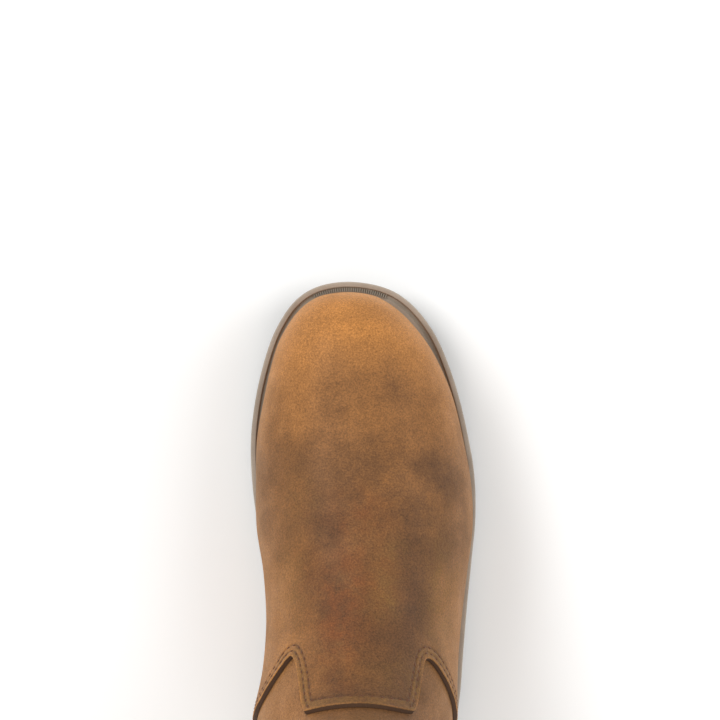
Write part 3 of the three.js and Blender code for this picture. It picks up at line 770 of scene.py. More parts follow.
def bevelled(distance, radius):
    """How far a rounded edge has dropped at some distance inside it."""
    t = np.clip(1 - distance / radius, 0, 1)
    return radius * (1 - np.sqrt(1 - t ** 2))


def nearest(points, path):
    """The distance of each point to the nearest point of a path."""
    flat = points.reshape(-1, 3)
    far = np.concatenate([
        np.linalg.norm(part[:, None] - path[None], axis=-1).min(axis=1)
        for part in np.array_split(flat, max(len(flat) // 2000, 1))
    ])
    return far.reshape(points.shape[:-1])


def drawn_in(distance, row):
    """How much a row of stitches at some distance from an edge draws the leather in, 0 to 1."""
    return np.exp(-((distance - row) / STITCH_DIP) ** 2)


def sewn(distance, rows=STITCH_ROWS):
    """How far an edge's rounding and its rows of stitches press the leather in."""
    return bevelled(distance, EDGE_ROUND) + STITCH_SINK * sum(drawn_in(distance, row) for row in rows)


def make_upper():
    rings = row_places(COLLAR, UPPER_STEPS)
    places = rings[:, None] * np.ones(len(TURNS))
    places[-1] = collar_edge(TURNS)
    places = np.minimum(places, collar_edge(TURNS))
    keep = rings < COLLAR - 0.2
    keep[-1] = True
    piece = cup("upper_leather", places[keep], TURNS, -UPPER_WALL, 0.0, coarse=2)
    return finish_mesh(cut_along(piece, feather_z))


def vamp_grid():
    start = row_places(VAMP_EDGE_FROM, VAMP_STEPS)
    body = start[:, None] * np.ones(len(VAMP_TURNS))
    reach = vamp_edge(VAMP_TURNS) - VAMP_EDGE_FROM
    return np.vstack([body, VAMP_EDGE_FROM + EDGE_RINGS[:, None] * reach])


def vamp_rows(points):
    """The distance of points to the vamp's edge, and how much its stitches draw them in. The first
    row of stitches leaves out the end of the tab."""
    turns = np.linspace(-130, 130, 1800)
    edge = skin(vamp_edge(turns), turns, FIT + VAMP_LEATHER)
    tab_end = (turns > TAB_CORNERS[0]) & (turns < TAB_CORNERS[1])
    distance = nearest(points, edge)
    first = drawn_in(nearest(points, edge[~tab_end]), STITCH_ROWS[0])
    off_end = soft(nearest(points, edge[tab_end]), 0, STITCH_ROWS[0])
    return distance, drawn_in(distance, STITCH_ROWS[1]) + first * off_end


def make_vamp():
    places = vamp_grid()
    distance, pressed = vamp_rows(skin(places, VAMP_TURNS, FIT + VAMP_LEATHER))
    outside = FIT + VAMP_LEATHER - bevelled(distance, EDGE_ROUND) - STITCH_SINK * pressed
    piece = cup("vamp_leather", places, VAMP_TURNS, FIT, outside, coarse=3, skive=EDGE_SKIVE)
    return finish_mesh(cut_along(piece, feather_z))


def counter_grid(rows=34, columns=190):
    """Places and turns of the counter. It runs round the heel in columns of azimuth, each from the
    feather line to its edge."""
    axis_x, axis_y = FORM_ROWS[-1, 4], y_at(HEEL_AXIS)

    def azimuth_of(p):
        return np.arctan2(p[..., 0] - axis_x, axis_y - p[..., 1])

    def height_at(y, high):
        return feather_z(y) + high * (counter_top(y) - feather_z(y))

    corner = y_at(COUNTER_CORNER)
    ends = [azimuth_of(form_point(*beside(corner, feather_z(corner), side))) for side in (-1, 1)]
    around = np.linspace(*ends, columns)
    sample_place, sample_turn = np.meshgrid(np.linspace(INSTEP, 19, 50), np.linspace(60, 300, 120))
    samples = form_point(sample_place, sample_turn).reshape(-1, 3)
    sample_azimuth = azimuth_of(samples)
    radius = 0.45 * SHAFT_WIDTH
    grid = []
    for high in np.linspace(0, 1, rows):
        wide = (around[:, None] - sample_azimuth) * radius
        tall = height_at(samples[:, 1], high) - samples[:, 2]
        best = np.argmin(wide ** 2 + tall ** 2, axis=1)

        def miss(p):
            return np.stack([(azimuth_of(p) - around) * radius, p[..., 2] - height_at(p[..., 1], high)], -1)

        first = sample_place.ravel()[best], sample_turn.ravel()[best]
        grid.append(settle(*first, miss))
    return np.array([row[0] for row in grid]), np.array([row[1] for row in grid])


COUNTER_EDGE = skin(*(grid[-1] for grid in counter_grid(rows=2, columns=900)), FIT + COUNTER_LEATHER)


def counter_rows(points):
    distance = nearest(points, COUNTER_EDGE)
    return distance, sum(drawn_in(distance, row) for row in STITCH_ROWS)


def make_counter():
    places, turns = counter_grid()
    distance = nearest(skin(places, turns, FIT + COUNTER_LEATHER), COUNTER_EDGE)
    outside = FIT + COUNTER_LEATHER - sewn(distance)
    return finish_mesh(patch("counter_leather", places[::-1], turns[::-1], FIT, outside[::-1]))


def make_side_seam(side):
    """A seam strip up one side of the shaft, from the counter to the binding."""
    rows, columns = 90, 22
    y = y_at(SEAM_AT) + SEAM_WIDTH * np.linspace(0.5, -0.5, columns) * side
    low = counter_top(y) + FIT
    high = over_collar(side * 90.0, 0.0, 0.0)[2] - BINDING_DEPTH - FIT
    z = low + (high - low) * np.linspace(0, 1, rows)[:, None]
    places, turns = beside(np.broadcast_to(y, z.shape), z, side)
    edge = np.vstack([skin(places[:, k], turns[:, k], FIT + SEAM_LEATHER) for k in (0, -1)])
    distance = nearest(skin(places, turns, FIT + SEAM_LEATHER), edge)
    outside = FIT + SEAM_LEATHER - sewn(distance, SEAM_STITCHES)
    return finish_mesh(patch("seam_strip_" + SIDES[side], places, turns, FIT, outside))


def make_binding():
    """The binding is folded over the collar: up the outside, over the edge and down the inside."""
    turns = np.linspace(-180, 180, 145)[:-1]
    out, inn = FIT + BINDING_LEATHER, -UPPER_WALL - FIT - BINDING_LEATHER
    middle, half = (out + inn) / 2, (out - inn) / 2
    section = []
    for high in np.linspace(-BINDING_DEPTH, 0, 14):
        low_stitch = sewn(np.array(high + BINDING_DEPTH), BINDING_STITCHES)
        section.append((out - low_stitch, high))
    for angle in np.linspace(0, math.pi, 13)[1:-1]:
        section.append((middle + half * math.cos(angle), (FIT + BINDING_LEATHER) * math.sin(angle)))
    section += [(inn, high) for high in np.linspace(0, -BINDING_DEPTH, 6)]
    section += [(inn + BINDING_LEATHER, high) for high in (-BINDING_DEPTH, 0, FIT)]
    section += [(FIT, high) for high in (FIT, 0, -BINDING_DEPTH)]
    offsets, highs = np.array(section[::-1]).T
    stations = [over_collar(turn, highs, offsets) for turn in turns]
    return finish_mesh(loft("binding_leather", stations, closed=True))


def strap_section(grow):
    """Half the outline of a pull strap's section, from the foot of one leg to that of the other."""
    inside = -UPPER_WALL - 2 * FIT - BINDING_LEATHER
    middle, half = (STRAP_LIFT + inside) / 2, (STRAP_LIFT - inside) / 2 + grow
    line = [(STRAP_LIFT + grow, high) for high in np.linspace(-STRAP_OUTSIDE, 0, 14)[:-1]]
    for angle in np.linspace(0, math.pi, 33):
        wide = half + STRAP_BULGE * math.sin(angle)
        high = (STRAP_STAND_UP - STRAP_THICKNESS + grow) * math.sin(angle)
        line.append((middle + wide * math.cos(angle), high))
    line += [(inside - grow, high) for high in np.linspace(0, -STRAP_INSIDE, 10)[1:]]
    return line


def make_pull_strap(side):
    """A woven strap whose legs lie outside the seam strip and inside the binding."""
    stations = []
    for across in np.linspace(-1, 1, 17):
        near_edge = np.clip(1 - (1 - abs(across)) / STRAP_EDGE, 0, 1)
        thin = STRAP_EDGE_THIN * near_edge ** 2
        low, high = strap_section(thin), strap_section(STRAP_THICKNESS - thin)
        offsets, highs = np.array(low + high[::-1]).T
        stations.append(over_collar(side * 90 + across * STRAP_HALF_TURN, highs, offsets))
    return finish_mesh(loft("webbing_" + SIDES[side], stations))


def feather_border(lift, inset, count=120):
    """Both sides of the form where it meets a height above the feather line, moved in by an inset."""
    place = np.linspace(0.2, HEEL_SEAT, 1200)
    top_y, back_y, top_z, back_z, ridge, inner, outer, widest, _, foot_round = rows_at(FORM_ROWS, place).T
    y = back_y
    for _ in range(6):
        up = (feather_z(y) + lift - back_z) / (top_z - back_z)
        y = back_y + (top_y - back_y) * up
    drop = 1 - up / widest
    crossed = (up > 0) & (drop > 0)
    reach = (1 - np.clip(drop, 0, 1) ** foot_round) ** (1 / foot_round)
    right, left = (
        np.column_stack([ridge + half * reach, y])[crossed] for half in (outer, -inner)
    )
    loop = np.vstack([right, left[::-1]])
    along = unit(np.roll(loop, -3, axis=0) - np.roll(loop, 3, axis=0))
    inward = np.stack([along[:, 1], -along[:, 0]], -1)
    loop = loop + inset * inward
    right, left = loop[:len(right)], loop[len(right):][::-1]
    steps = (1 - np.cos(np.linspace(0, math.pi, count))) / 2
    toe, heel = right[:, 1].max(), right[:, 1].min()
    short = 0.0015
    ys = toe - (toe - heel) * (short + (1 - 2 * short) * steps)
    return ys, *(np.interp(-ys, -line[:, 1], line[:, 0]) for line in (right, left))


def make_insole():
    """A footbed across the whole foot, slightly dished."""
    columns = 21
    rows = []
    across = np.sin(np.linspace(1, -1, columns) * math.pi / 2)
    for lift, dish in ((INSOLE_THICKNESS, INSOLE_DISH * across ** 4 - INSOLE_SUNK), (FIT, 0 * across)):
        ys, right, left = feather_border(lift, UPPER_WALL + FIT)
        x = (right + left)[:, None] / 2 + (right - left)[:, None] / 2 * across
        z = feather_z(ys)[:, None] + lift + dish
        rows.append(np.stack([x, np.broadcast_to(ys[:, None], x.shape), z], -1))
    top, base = (grid + MIDDLE for grid in rows)
    count = len(top)
    faces = turned(grid_faces(count, columns, closed_columns=False))
    faces += grid_faces(count, columns, closed_columns=False, first=count * columns)
    faces += rim_faces(count, columns)
    return finish_mesh(mesh_piece("footbed", np.vstack([top.reshape(-1, 3), base.reshape(-1, 3)]), faces))


# Side of the midsole and of the outsole from the bottom up: insets are shares of SIDE_STEP, heights
# are shares of the thickness.
MIDSOLE_SIDE = (
    (1.0, 0.0), (0.62, 0.05), (0.3, 0.16), (0.1, 0.34), (0.0, 0.52), (0.05, 0.57), (0.75, 0.6),
    (0.95, 0.64), (0.95, 0.7), (0.75, 0.74), (0.05, 0.77), (0.0, 0.82),
)
OUTSOLE_SIDE = (
    (2.0, 0.0), (1.5, 0.02), (0.95, 0.08), (0.6, 0.15), (0.1, 0.3), (0.0, 0.42), (0.0, 0.78), (0.1, 0.83),
    (0.5, 0.88), (0.6, 0.92), (1.0, 1.0),
)


def make_midsole():
    def lip(y):
        return feather_z(y) + LIP_HEIGHT

    def groove(y):
        return feather_z(y) - GROOVE_DEPTH

    rings = [
        sole_ring(inset * SIDE_STEP, between(midsole_z, feather_z, high)) for inset, high in MIDSOLE_SIDE
    ]
    for angle in np.linspace(0, math.pi / 2, 5):
        drop = LIP_ROUND * (1 - math.sin(angle))
        rings.append(sole_ring(LIP_ROUND * (1 - math.cos(angle)), lambda y, drop=drop: lip(y) - drop))
    for angle in np.linspace(math.pi / 2, 0, 4):
        drop = LIP_INNER_ROUND * (1 - math.sin(angle))
        inset = LIP_WIDTH - LIP_INNER_ROUND * (1 - math.cos(angle))
        rings.append(sole_ring(inset, lambda y, drop=drop: lip(y) - drop))
    rings.append(sole_ring(LIP_WIDTH + GROOVE_WALL, groove))
    rings.append(sole_ring(LIP_WIDTH + GROOVE_WIDTH, groove))
    rings.append(sole_ring(LIP_WIDTH + GROOVE_WIDTH + GROOVE_WALL, lambda y: feather_z(y) - FIT))
    # The floor and the inner wall of the groove have the second finish, darker: painted shade and dirt
    slots = [0] * (len(rings) - 3) + [1] * 2
    midsole = loft_rings("midsole_cushion", rings, slots)
    turns = np.linspace(-180, 180, 121)[:-1]
    places = row_places(COLLAR, ((6, 3), (15, 5), (COLLAR, 3)))[:, None] * np.ones(len(turns))
    room = core("sole_room", places, turns, FIT + VAMP_LEATHER + SOLE_GAP)
    finish_mesh(cut_along(room, lambda y: feather_z(y) - FIT))
    return finish_mesh(cut_away(finish_mesh(midsole), room), sharp=30, merge=False)


def box_between(name, corners):
    """A box whose eight corners run round its lower face, then round its upper one."""
    faces = [(3, 2, 1, 0), (4, 5, 6, 7)] + [(k, (k + 1) % 4, (k + 1) % 4 + 4, k + 4) for k in range(4)]
    return mesh_piece(name, corners, faces, smooth=False)


def joined(name, pieces):
    """Several loose pieces as one mesh."""
    bm = bmesh.new()
    for piece in pieces:
        bm.from_mesh(piece.data)
        bpy.data.objects.remove(piece)
    mesh = bpy.data.meshes.new(name)
    bm.to_mesh(mesh)
    bm.free()
    return in_scene(name, mesh)


def outsole_bottom(y):
    step = np.clip((share_at(y) - HEEL_BREAST) / BREAST_SLOPE, 0, 1)
    return tread_z(y) * (1 - step)


def swung(x, y, angle):
    return x * math.cos(angle) - y * math.sin(angle), x * math.sin(angle) + y * math.cos(angle)


def groove_box(y, side):
    """A slanted groove of the tread, cut to one side of the centre bar."""
    place = np.interp(share_at(y), rows_at(OUTLINE_ROWS, OUTLINE_PLACES)[:, 0], OUTLINE_PLACES)
    centre = rows_at(OUTLINE_ROWS, place)[1] * BALL_WIDTH
    slope = math.atan2(float(outsole_bottom(y + MM) - outsole_bottom(y - MM)), 2 * MM)
    corners = []
    for high, grow in ((-LUG_DEPTH, LUG_DRAFT), (LUG_DEPTH, -LUG_DRAFT / 2)):
        for far, front in ((0, -1), (1, -1), (1, 1), (0, 1)):
            x = side * (CENTRE_BAR / 2 - grow * (1 - far) + far * BALL_WIDTH)
            x, ahead = swung(x, front * (LUG_GAP + grow) / 2, -side * LUG_SKEW)
            ahead, up = swung(ahead, high, slope)
            corners.append((centre + x, y + ahead, float(outsole_bottom(y)) + up))
    return box_between("groove", np.array(corners) + MIDDLE)


def make_outsole():
    def top(y):
        return midsole_z(y) - FIT

    rings = []
    for inset, high in OUTSOLE_SIDE:
        rings.append(sole_ring(inset * SIDE_STEP, between(outsole_bottom, top, high)))
    sole = finish_mesh(loft_rings("outsole_rubber", rings))
    grooves = []
    forefoot = np.arange(y_at(TREAD_START), y_at(TREAD_END), -LUG_PITCH)
    heel = np.arange(y_at(HEEL_BREAST) - LUG_PITCH, y_at(HEEL_TREAD_END), -LUG_PITCH)
    for y in np.concatenate([forefoot, heel]):
        for side in (-1, 1):
            grooves.append(finish_mesh(groove_box(y, side)))
    return finish_mesh(cut_away(sole, joined("grooves", grooves)), sharp=30, merge=False)


# Node trees
def connect(tree, node, inputs):
    """Gives a node's sockets a value or another node's output each."""
    for key, value in inputs.items():
        if isinstance(value, bpy.types.NodeSocket):
            tree.links.new(value, node.inputs[key])
        else:
            node.inputs[key].default_value = value


def add(tree, kind, inputs=None, **settings):
    """Adds a node with its settings and inputs."""
    node = tree.nodes.new(kind)
    for name, value in settings.items():
        setattr(node, name, value)
    connect(tree, node, inputs or {})
    return node


def row_tree():
    """Sets an item at an even spacing along a path, upright on the surface that the path lies on."""
    tree = bpy.data.node_groups.new("row_along_path", "GeometryNodeTree")
    given_kinds = {
        "Geometry": "Geometry", "Spacing": "Float", "Item": "Object", "Waver": "Float",
        "Finish": "Material",
    }
    for name, kind in given_kinds.items():
        tree.interface.new_socket(name, in_out="INPUT", socket_type="NodeSocket" + kind)
    tree.interface.new_socket("Geometry", in_out="OUTPUT", socket_type="NodeSocketGeometry")
    given = add(tree, "NodeGroupInput").outputs
    curve = add(tree, "GeometryNodeMeshToCurve", {"Mesh": given["Geometry"]})
    spaced = {"Curve": curve.outputs[0], "Length": given["Spacing"]}
    even = add(tree, "GeometryNodeResampleCurve", spaced, mode="LENGTH")
    item = add(tree, "GeometryNodeObjectInfo", {"Object": given["Item"]}, transform_space="ORIGINAL")
    lie = add(tree, "GeometryNodeInputNamedAttribute", {"Name": "lie"}, data_type="FLOAT_VECTOR")
    tangent = add(tree, "GeometryNodeInputTangent")
    upright = add(tree, "FunctionNodeAlignRotationToVector", {"Vector": lie.outputs[0]}, axis="Z")
    facing = add(tree, "FunctionNodeAlignRotationToVector", {
        "Rotation": upright.outputs[0], "Vector": tangent.outputs[0],
    }, axis="X", pivot_axis="Z")
    low = add(tree, "ShaderNodeMath", {0: given["Waver"], 1: -1.0}, operation="MULTIPLY")
    limits = {2: low.outputs[0], 3: given["Waver"], 8: 7}
    angle = add(tree, "FunctionNodeRandomValue", limits, data_type="FLOAT")
    swing = add(tree, "FunctionNodeAxisAngleToRotation", {"Axis": (0, 0, 1), "Angle": angle.outputs[1]})
    turn = add(tree, "FunctionNodeRotateRotation", {
        "Rotation": facing.outputs[0], "Rotate By": swing.outputs[0],
    }, rotation_space="LOCAL")
    placed = add(tree, "GeometryNodeInstanceOnPoints", {
        "Points": even.outputs[0], "Instance": item.outputs["Geometry"], "Rotation": turn.outputs[0],
    })
    real = add(tree, "GeometryNodeRealizeInstances", {"Geometry": placed.outputs[0]})
    covered = {"Geometry": real.outputs[0], "Material": given["Finish"]}
    add(tree, "NodeGroupOutput", {0: add(tree, "GeometryNodeSetMaterial", covered).outputs[0]})
    return tree


ROW_TREE = row_tree()


def stitch_item():
    """One thread stitch: a rounded dash whose ends dip into the leather."""
    sides, rings = 8, 7
    blunt, dip = 0.6, 0.35
    points = []
    for angle in np.linspace(0, math.pi, rings):
        for side in np.linspace(0, 2 * math.pi, sides, endpoint=False):
            thick = max(math.sin(angle), 0.02) ** blunt
            points.append((
                STITCH_LENGTH / 2 * -math.cos(angle),
                THREAD / 2 * thick * math.cos(side),
                THREAD_RISE * (thick * math.sin(side) - dip * math.cos(angle) ** 2),
            ))
    faces = grid_faces(rings, sides)
    faces += [tuple(range(sides)), tuple(range(rings * sides - 1, (rings - 1) * sides - 1, -1))]
    return finish_mesh(mesh_piece("stitch_item", points, faces), sharp=180)


def path_piece(name, lines):
    """Lines of points with the direction that is up on the surface, as an edge mesh."""
    points, ups, edges = [], [], []
    for line, normals in lines:
        start = len(points)
        points += line.tolist()
        ups += normals.tolist()
        edges += [(start + k, start + k + 1) for k in range(len(line) - 1)]
    mesh = bpy.data.meshes.new(name)
    mesh.from_pydata(points, edges, [])
    lie = mesh.attributes.new("lie", "FLOAT_VECTOR", "POINT")
    lie.data.foreach_set("vector", np.array(ups).ravel())
    return in_scene(name, mesh)


def row_of(name, lines, spacing, finish, waver=0.0, item=None):
    """A row of stitches or other items along lines on a surface, as a plain mesh."""
    item = item or stitch_item()
    piece = path_piece(name, lines)
    modifier = piece.modifiers.new("row", "NODES")
    modifier.node_group = ROW_TREE
    values = {"Spacing": spacing, "Item": item, "Waver": waver, "Finish": finish}
    for socket in ROW_TREE.interface.items_tree:
        if socket.in_out == "INPUT" and socket.name in values:
            modifier[socket.identifier] = values[socket.name]
    piece = bake(piece)
    bpy.data.objects.remove(item)
    return piece


# Rows of stitches
def inside_edge(place, turn, distance, inward):
    """Places and turns at a distance inside an edge. inward is 1 or -1, as the edge runs."""
    points = form_point(place, turn)
    along = unit(np.gradient(points, axis=0))
    across = np.cross(form_normal(place, turn), along) * inward
    by_place = (form_point(place + STEP, turn) - points) / STEP
    by_turn = (form_point(place, turn + STEP_TURN) - points) / STEP_TURN
    a, b, c = (by_place ** 2).sum(1), (by_place * by_turn).sum(1), (by_turn ** 2).sum(1)
    d, e = (across * by_place).sum(1) * distance, (across * by_turn).sum(1) * distance
    area = a * c - b * b
    return place + (d * c - e * b) / area, turn + (e * a - d * b) / area


def runs(keep):
    """Start and end of each run of true values."""
    edges = np.flatnonzero(np.diff(np.concatenate([[0], keep.astype(int), [0]])))
    return list(zip(edges[::2], edges[1::2]))


def lines_inside(place, turn, distance, inward, offset, keep=None):
    """Lines on a surface at a distance inside an edge, without the parts that run too near it."""
    edge = form_point(place, turn)
    row_place, row_turn = inside_edge(place, turn, distance, inward)
    clear = nearest(form_point(row_place, row_turn), edge) > distance - STITCH_SLACK
    if keep is not None:
        clear &= keep
    lines = []
    for start, end in runs(clear):
        if end - start > 3:
            part = row_place[start:end], row_turn[start:end]
            lines.append((skin(*part, offset), form_normal(*part)))
    return lines


def above_sole(line):
    """The part of a line that lies well above the feather line."""
    points, normals = line
    keep = points[:, 2] > feather_z(points[:, 1] - MIDDLE[1]) + SOLE_CLEARANCE
    return points[keep], normals[keep]


def vamp_stitches(finish):
    """Two rows along the vamp's edge. The first one leaves out the end of the tab."""
    turns = np.linspace(-126, 126, 2400)
    edge = vamp_edge(turns)
    lift = FIT + VAMP_LEATHER - STITCH_SINK
    tab_end = (turns > TAB_CORNERS[0]) & (turns < TAB_CORNERS[1])
    first_row = form_point(*inside_edge(edge, turns, STITCH_ROWS[0], 1))
    off_end = nearest(first_row, form_point(edge[tab_end], turns[tab_end])) > STITCH_ROWS[0]
    lines = lines_inside(edge, turns, STITCH_ROWS[1], 1, lift)
    lines += lines_inside(edge, turns, STITCH_ROWS[0], 1, lift, ~tab_end & off_end)
    return row_of("vamp_stitches", [above_sole(line) for line in lines], STITCH_PITCH, finish, WAVER)


def counter_stitches(finish):
    places, turns = (grid[-1] for grid in counter_grid(rows=12))
    lift = FIT + COUNTER_LEATHER - STITCH_SINK
    lines = []
    for distance in STITCH_ROWS:
        lines += lines_inside(places, turns, distance, -1, lift)
    return row_of("counter_stitches", [above_sole(line) for line in lines], STITCH_PITCH, finish, WAVER)


def seam_stitches(finish):
    lines = []
    high = over_collar(90.0, 0.0, 0.0)[2] - BINDING_DEPTH - FIT
    for side in (-1, 1):
        for edge in (-1, 1):
            y = y_at(SEAM_AT) + edge * (SEAM_WIDTH / 2 - SEAM_STITCHES[0])
            z = np.linspace(counter_top(y) + SOLE_CLEARANCE, high, 140)
            row = beside(np.full(z.shape, y), z, side)
            lines.append((skin(*row, FIT + SEAM_LEATHER - STITCH_SINK), form_normal(*row)))
    return row_of("seam_stitches", lines, FINE_PITCH, finish, FINE_WAVER)


def binding_stitches(finish):
    turns = np.linspace(-180, 180, 900)
    high = np.full(turns.shape, BINDING_STITCHES[0] - BINDING_DEPTH)
    points = over_collar(turns, high, FIT + BINDING_LEATHER - STITCH_SINK)
    lines = []
    for start, stop in runs(abs(abs(turns) - 90) > STRAP_HALF_TURN + 1):
        lines.append((points[start:stop], form_normal(collar_edge(turns[start:stop]), turns[start:stop])))
    return row_of("binding_stitches", lines, FINE_PITCH, finish, FINE_WAVER)


def strap_stitches(finish):
    """A box of stitches on the outer leg of each strap."""
    sunk, open_end = 0.05 * MM, 0.04
    offset = STRAP_LIFT + STRAP_THICKNESS - sunk
    wide, (low, high) = STITCH_BOX, STITCH_BOX_ENDS
    corners = [(-wide, low), (wide, low), (wide, high), (-wide, high), (-wide, low), (wide, high)]
    lines = []
    for side in (-1, 1):
        for (a, low_a), (b, low_b) in zip(corners, corners[1:]):
            t = np.linspace(open_end, 1 - open_end, 60)
            turns = side * 90 + (a + (b - a) * t) * STRAP_HALF_TURN
            highs = low_a + (low_b - low_a) * t
            lines.append((over_collar(turns, highs, offset), form_normal(collar_edge(turns), turns)))
    return row_of("strap_stitches", lines, FINE_PITCH, finish, 0.8 * FINE_WAVER)


# Ribs moulded across the groove round the toe
def toe_ribs(finish):
    """They reach a twenty-fourth of the outline down each side of the toe."""
    plan = sole_outline(LIP_WIDTH + GROOVE_WIDTH / 2 + 0.1 * MM, step=0.02)
    reach = len(plan) // 24
    line = np.roll(plan, reach, axis=0)[:2 * reach]
    points = np.column_stack([line, feather_z(line[:, 1]) - GROOVE_DEPTH]) + MIDDLE
    ups = np.broadcast_to((0.0, 0.0, 1.0), points.shape)
    corners = []
    for z, grow in ((-RIB_SUNK, 1.0), (RIB_HEIGHT, RIB_TAPER)):
        for x, y in ((-1, -1), (1, -1), (1, 1), (-1, 1)):
            corners.append((x * RIB_WIDTH / 2 * grow, y * RIB_LENGTH / 2, z))
    item = finish_mesh(box_between("rib_item", corners))
    return row_of("toe_ribs", [(points, ups)], RIB_PITCH, finish, item=item)


# Colours and finishes
def colour(code):
    """An sRGB hex value as linear red, green, blue and alpha."""
    parts = [int(code[k:k + 2], 16) / 255 for k in (1, 3, 5)]
    return tuple(c / 12.92 if c <= 0.04045 else ((c + 0.055) / 1.055) ** 2.4 for c in parts) + (1.0,)


def new_finish(name):
    """A material with only its shader, and the object's own coordinates."""
    material = bpy.data.materials.new(name)
    material.use_nodes = True
    tree = material.node_tree
    tree.nodes.clear()
    shader = add(tree, "ShaderNodeBsdfPrincipled")
    add(tree, "ShaderNodeOutputMaterial", {"Surface": shader.outputs[0]})
    return material, tree, shader, add(tree, "ShaderNodeTexCoord").outputs["Object"]


# Patterns of the leather: the size of their features, the noise's detail and roughness, then its low
# and high values and what they stand for. Dark, red and olive break up the rubbed zones; dark also
# breaks up the painted shade of the stitch rows.
GRAIN = 1.1 * MM
PORES = 1.5 * GRAIN
WAVE = 24 * MM
MOTTLE = 16 * MM
LEATHER_PATTERNS = {
    "cloud": (48 * MM, 2.0, 0.55, 0.3, 0.7, -0.16, 0.16),
    "mottle": (MOTTLE, 5.0, 0.65, 0.3, 0.7, -0.17, 0.17),
    "dark": (7 * MM, 5.0, 0.7, 0.36, 0.64, 0.1, 1.3),
    "red": (9 * MM, 5.0, 0.7, 0.36, 0.64, 0.1, 1.3),
    "olive": (8 * MM, 5.0, 0.7, 0.36, 0.64, 0.1, 1.3),
    "speck": (0.9 * MM, 3.0, 0.8, 0.32, 0.68, 0.58, 1.42),
    "polish": (MOTTLE, 3.0, 0.55, 0.3, 0.7, -0.06, 0.08),
}
ZONE_CHANNELS = {"dark": "Red", "red": "Green", "olive": "Blue"}


def pull_up_leather(name, tan, brown, hues, roughness=0.56):
    """Oiled, lightly buffed full-grain cattle leather. The oil moves where it is bent or rubbed, so
    it is mottled from tan to dark brown, dull, with a fine grain and pale at grazing angles. The
    grain is drawn a little coarser than it is, so that it shows."""
    material, tree, shader, where = new_finish(name)
    zones = add(tree, "ShaderNodeVertexColor", layer_name="zones").outputs
    parts = add(tree, "ShaderNodeSeparateColor", {"Color": zones["Color"]}).outputs
    seen = {}
    for pattern, (size, detail, rough, low, high, new_low, new_high) in LEATHER_PATTERNS.items():
        speckle = add(tree, "ShaderNodeTexNoise", {
            "Vector": where, "Scale": 1 / size, "Detail": detail, "Roughness": rough,
        }).outputs[0]
        spread = {"Value": speckle, 1: low, 2: high, 3: new_low, 4: new_high}
        seen[pattern] = add(tree, "ShaderNodeMapRange", spread).outputs[0]
    depth = add(tree, "ShaderNodeMath", {0: zones["Alpha"], 1: seen["cloud"]}, operation="ADD").outputs[0]
    sum_up = {"operation": "ADD", "use_clamp": True}
    depth = add(tree, "ShaderNodeMath", {0: depth, 1: seen["mottle"]}, **sum_up).outputs[0]
    tint = {0: depth, 6: colour(tan), 7: colour(brown)}
    base = add(tree, "ShaderNodeMix", tint, data_type="RGBA").outputs[2]
    for zone, channel in ZONE_CHANNELS.items():
        factors = {0: parts[channel], 1: seen[zone]}
        share = add(tree, "ShaderNodeMath", factors, operation="MULTIPLY").outputs[0]
        tint = {0: share, 6: base, 7: colour(hues[zone])}
        base = add(tree, "ShaderNodeMix", tint, data_type="RGBA").outputs[2]
    tint = {0: 1.0, 6: base, 7: seen["speck"]}
    base = add(tree, "ShaderNodeMix", tint, data_type="RGBA", blend_type="MULTIPLY").outputs[2]
    dull = add(tree, "ShaderNodeMath", {0: seen["polish"], 1: roughness}, operation="ADD").outputs[0]
    fine = add(tree, "ShaderNodeTexNoise", {
        "Vector": where, "Scale": 1 / GRAIN, "Detail": 4.0, "Roughness": 0.65,
    }).outputs[0]
    pores = add(tree, "ShaderNodeTexVoronoi", {"Vector": where, "Scale": 1 / PORES}).outputs[0]
    wave = add(tree, "ShaderNodeTexNoise", {
        "Vector": where, "Scale": 1 / WAVE, "Detail": 2.0, "Roughness": 0.55,
    }).outputs[0]
    relief = {}
    for height, deep, strength in ((fine, 0.3 * MM, 0.7), (pores, 0.12 * MM, 0.35), (wave, 1.2 * MM, 0.35)):
        step = {"Height": height, "Distance": deep, "Strength": strength, **relief}
        relief = {"Normal": add(tree, "ShaderNodeBump", step).outputs[0]}
    connect(tree, shader, {
        "Base Color": base, "Roughness": dull, "Specular IOR Level": 0.28, "Sheen Weight": 0.2,
        "Sheen Roughness": 0.4, "Sheen Tint": colour("#E8B878"), **relief,
    })
    return material


def fibrous(name, dark, light, fibre, detail, rough, depth, strength, roughness,
            stretch=(1, 1, 1), sheen=0.0):
    """A surface of fibres that catch the light one by one. Their size is that of one fibre or tuft."""
    material, tree, shader, where = new_finish(name)
    where = add(tree, "ShaderNodeMapping", {"Vector": where, "Scale": stretch}).outputs[0]
    fibres = add(tree, "ShaderNodeTexNoise", {
        "Vector": where, "Scale": 1 / fibre, "Detail": detail, "Roughness": rough,
    }).outputs[0]
    tint = {0: fibres, 6: colour(dark), 7: colour(light)}
    relief = {"Height": fibres, "Distance": depth, "Strength": strength}
    connect(tree, shader, {
        "Base Color": add(tree, "ShaderNodeMix", tint, data_type="RGBA").outputs[2],
        "Normal": add(tree, "ShaderNodeBump", relief).outputs[0],
        "Roughness": roughness, "Sheen Weight": sheen,
    })
    return material


def cut_leather_edge(name, dark, light):
    """The raw edge of split and dyed leather: layers of fibre, dark and dull."""
    return fibrous(name, dark, light, fibre=0.7 * MM, detail=4.0, rough=0.7, depth=0.3 * MM,
                   strength=0.6, roughness=0.85, stretch=(1, 1, 3))


def waxed_thread(name, dark, light):
    """Twisted and waxed polyester thread: fine strands with a slight gloss."""
    return fibrous(name, dark, light, fibre=0.4 * MM, detail=2.0, rough=0.6, depth=0.1 * MM,
                   strength=0.7, roughness=0.5)


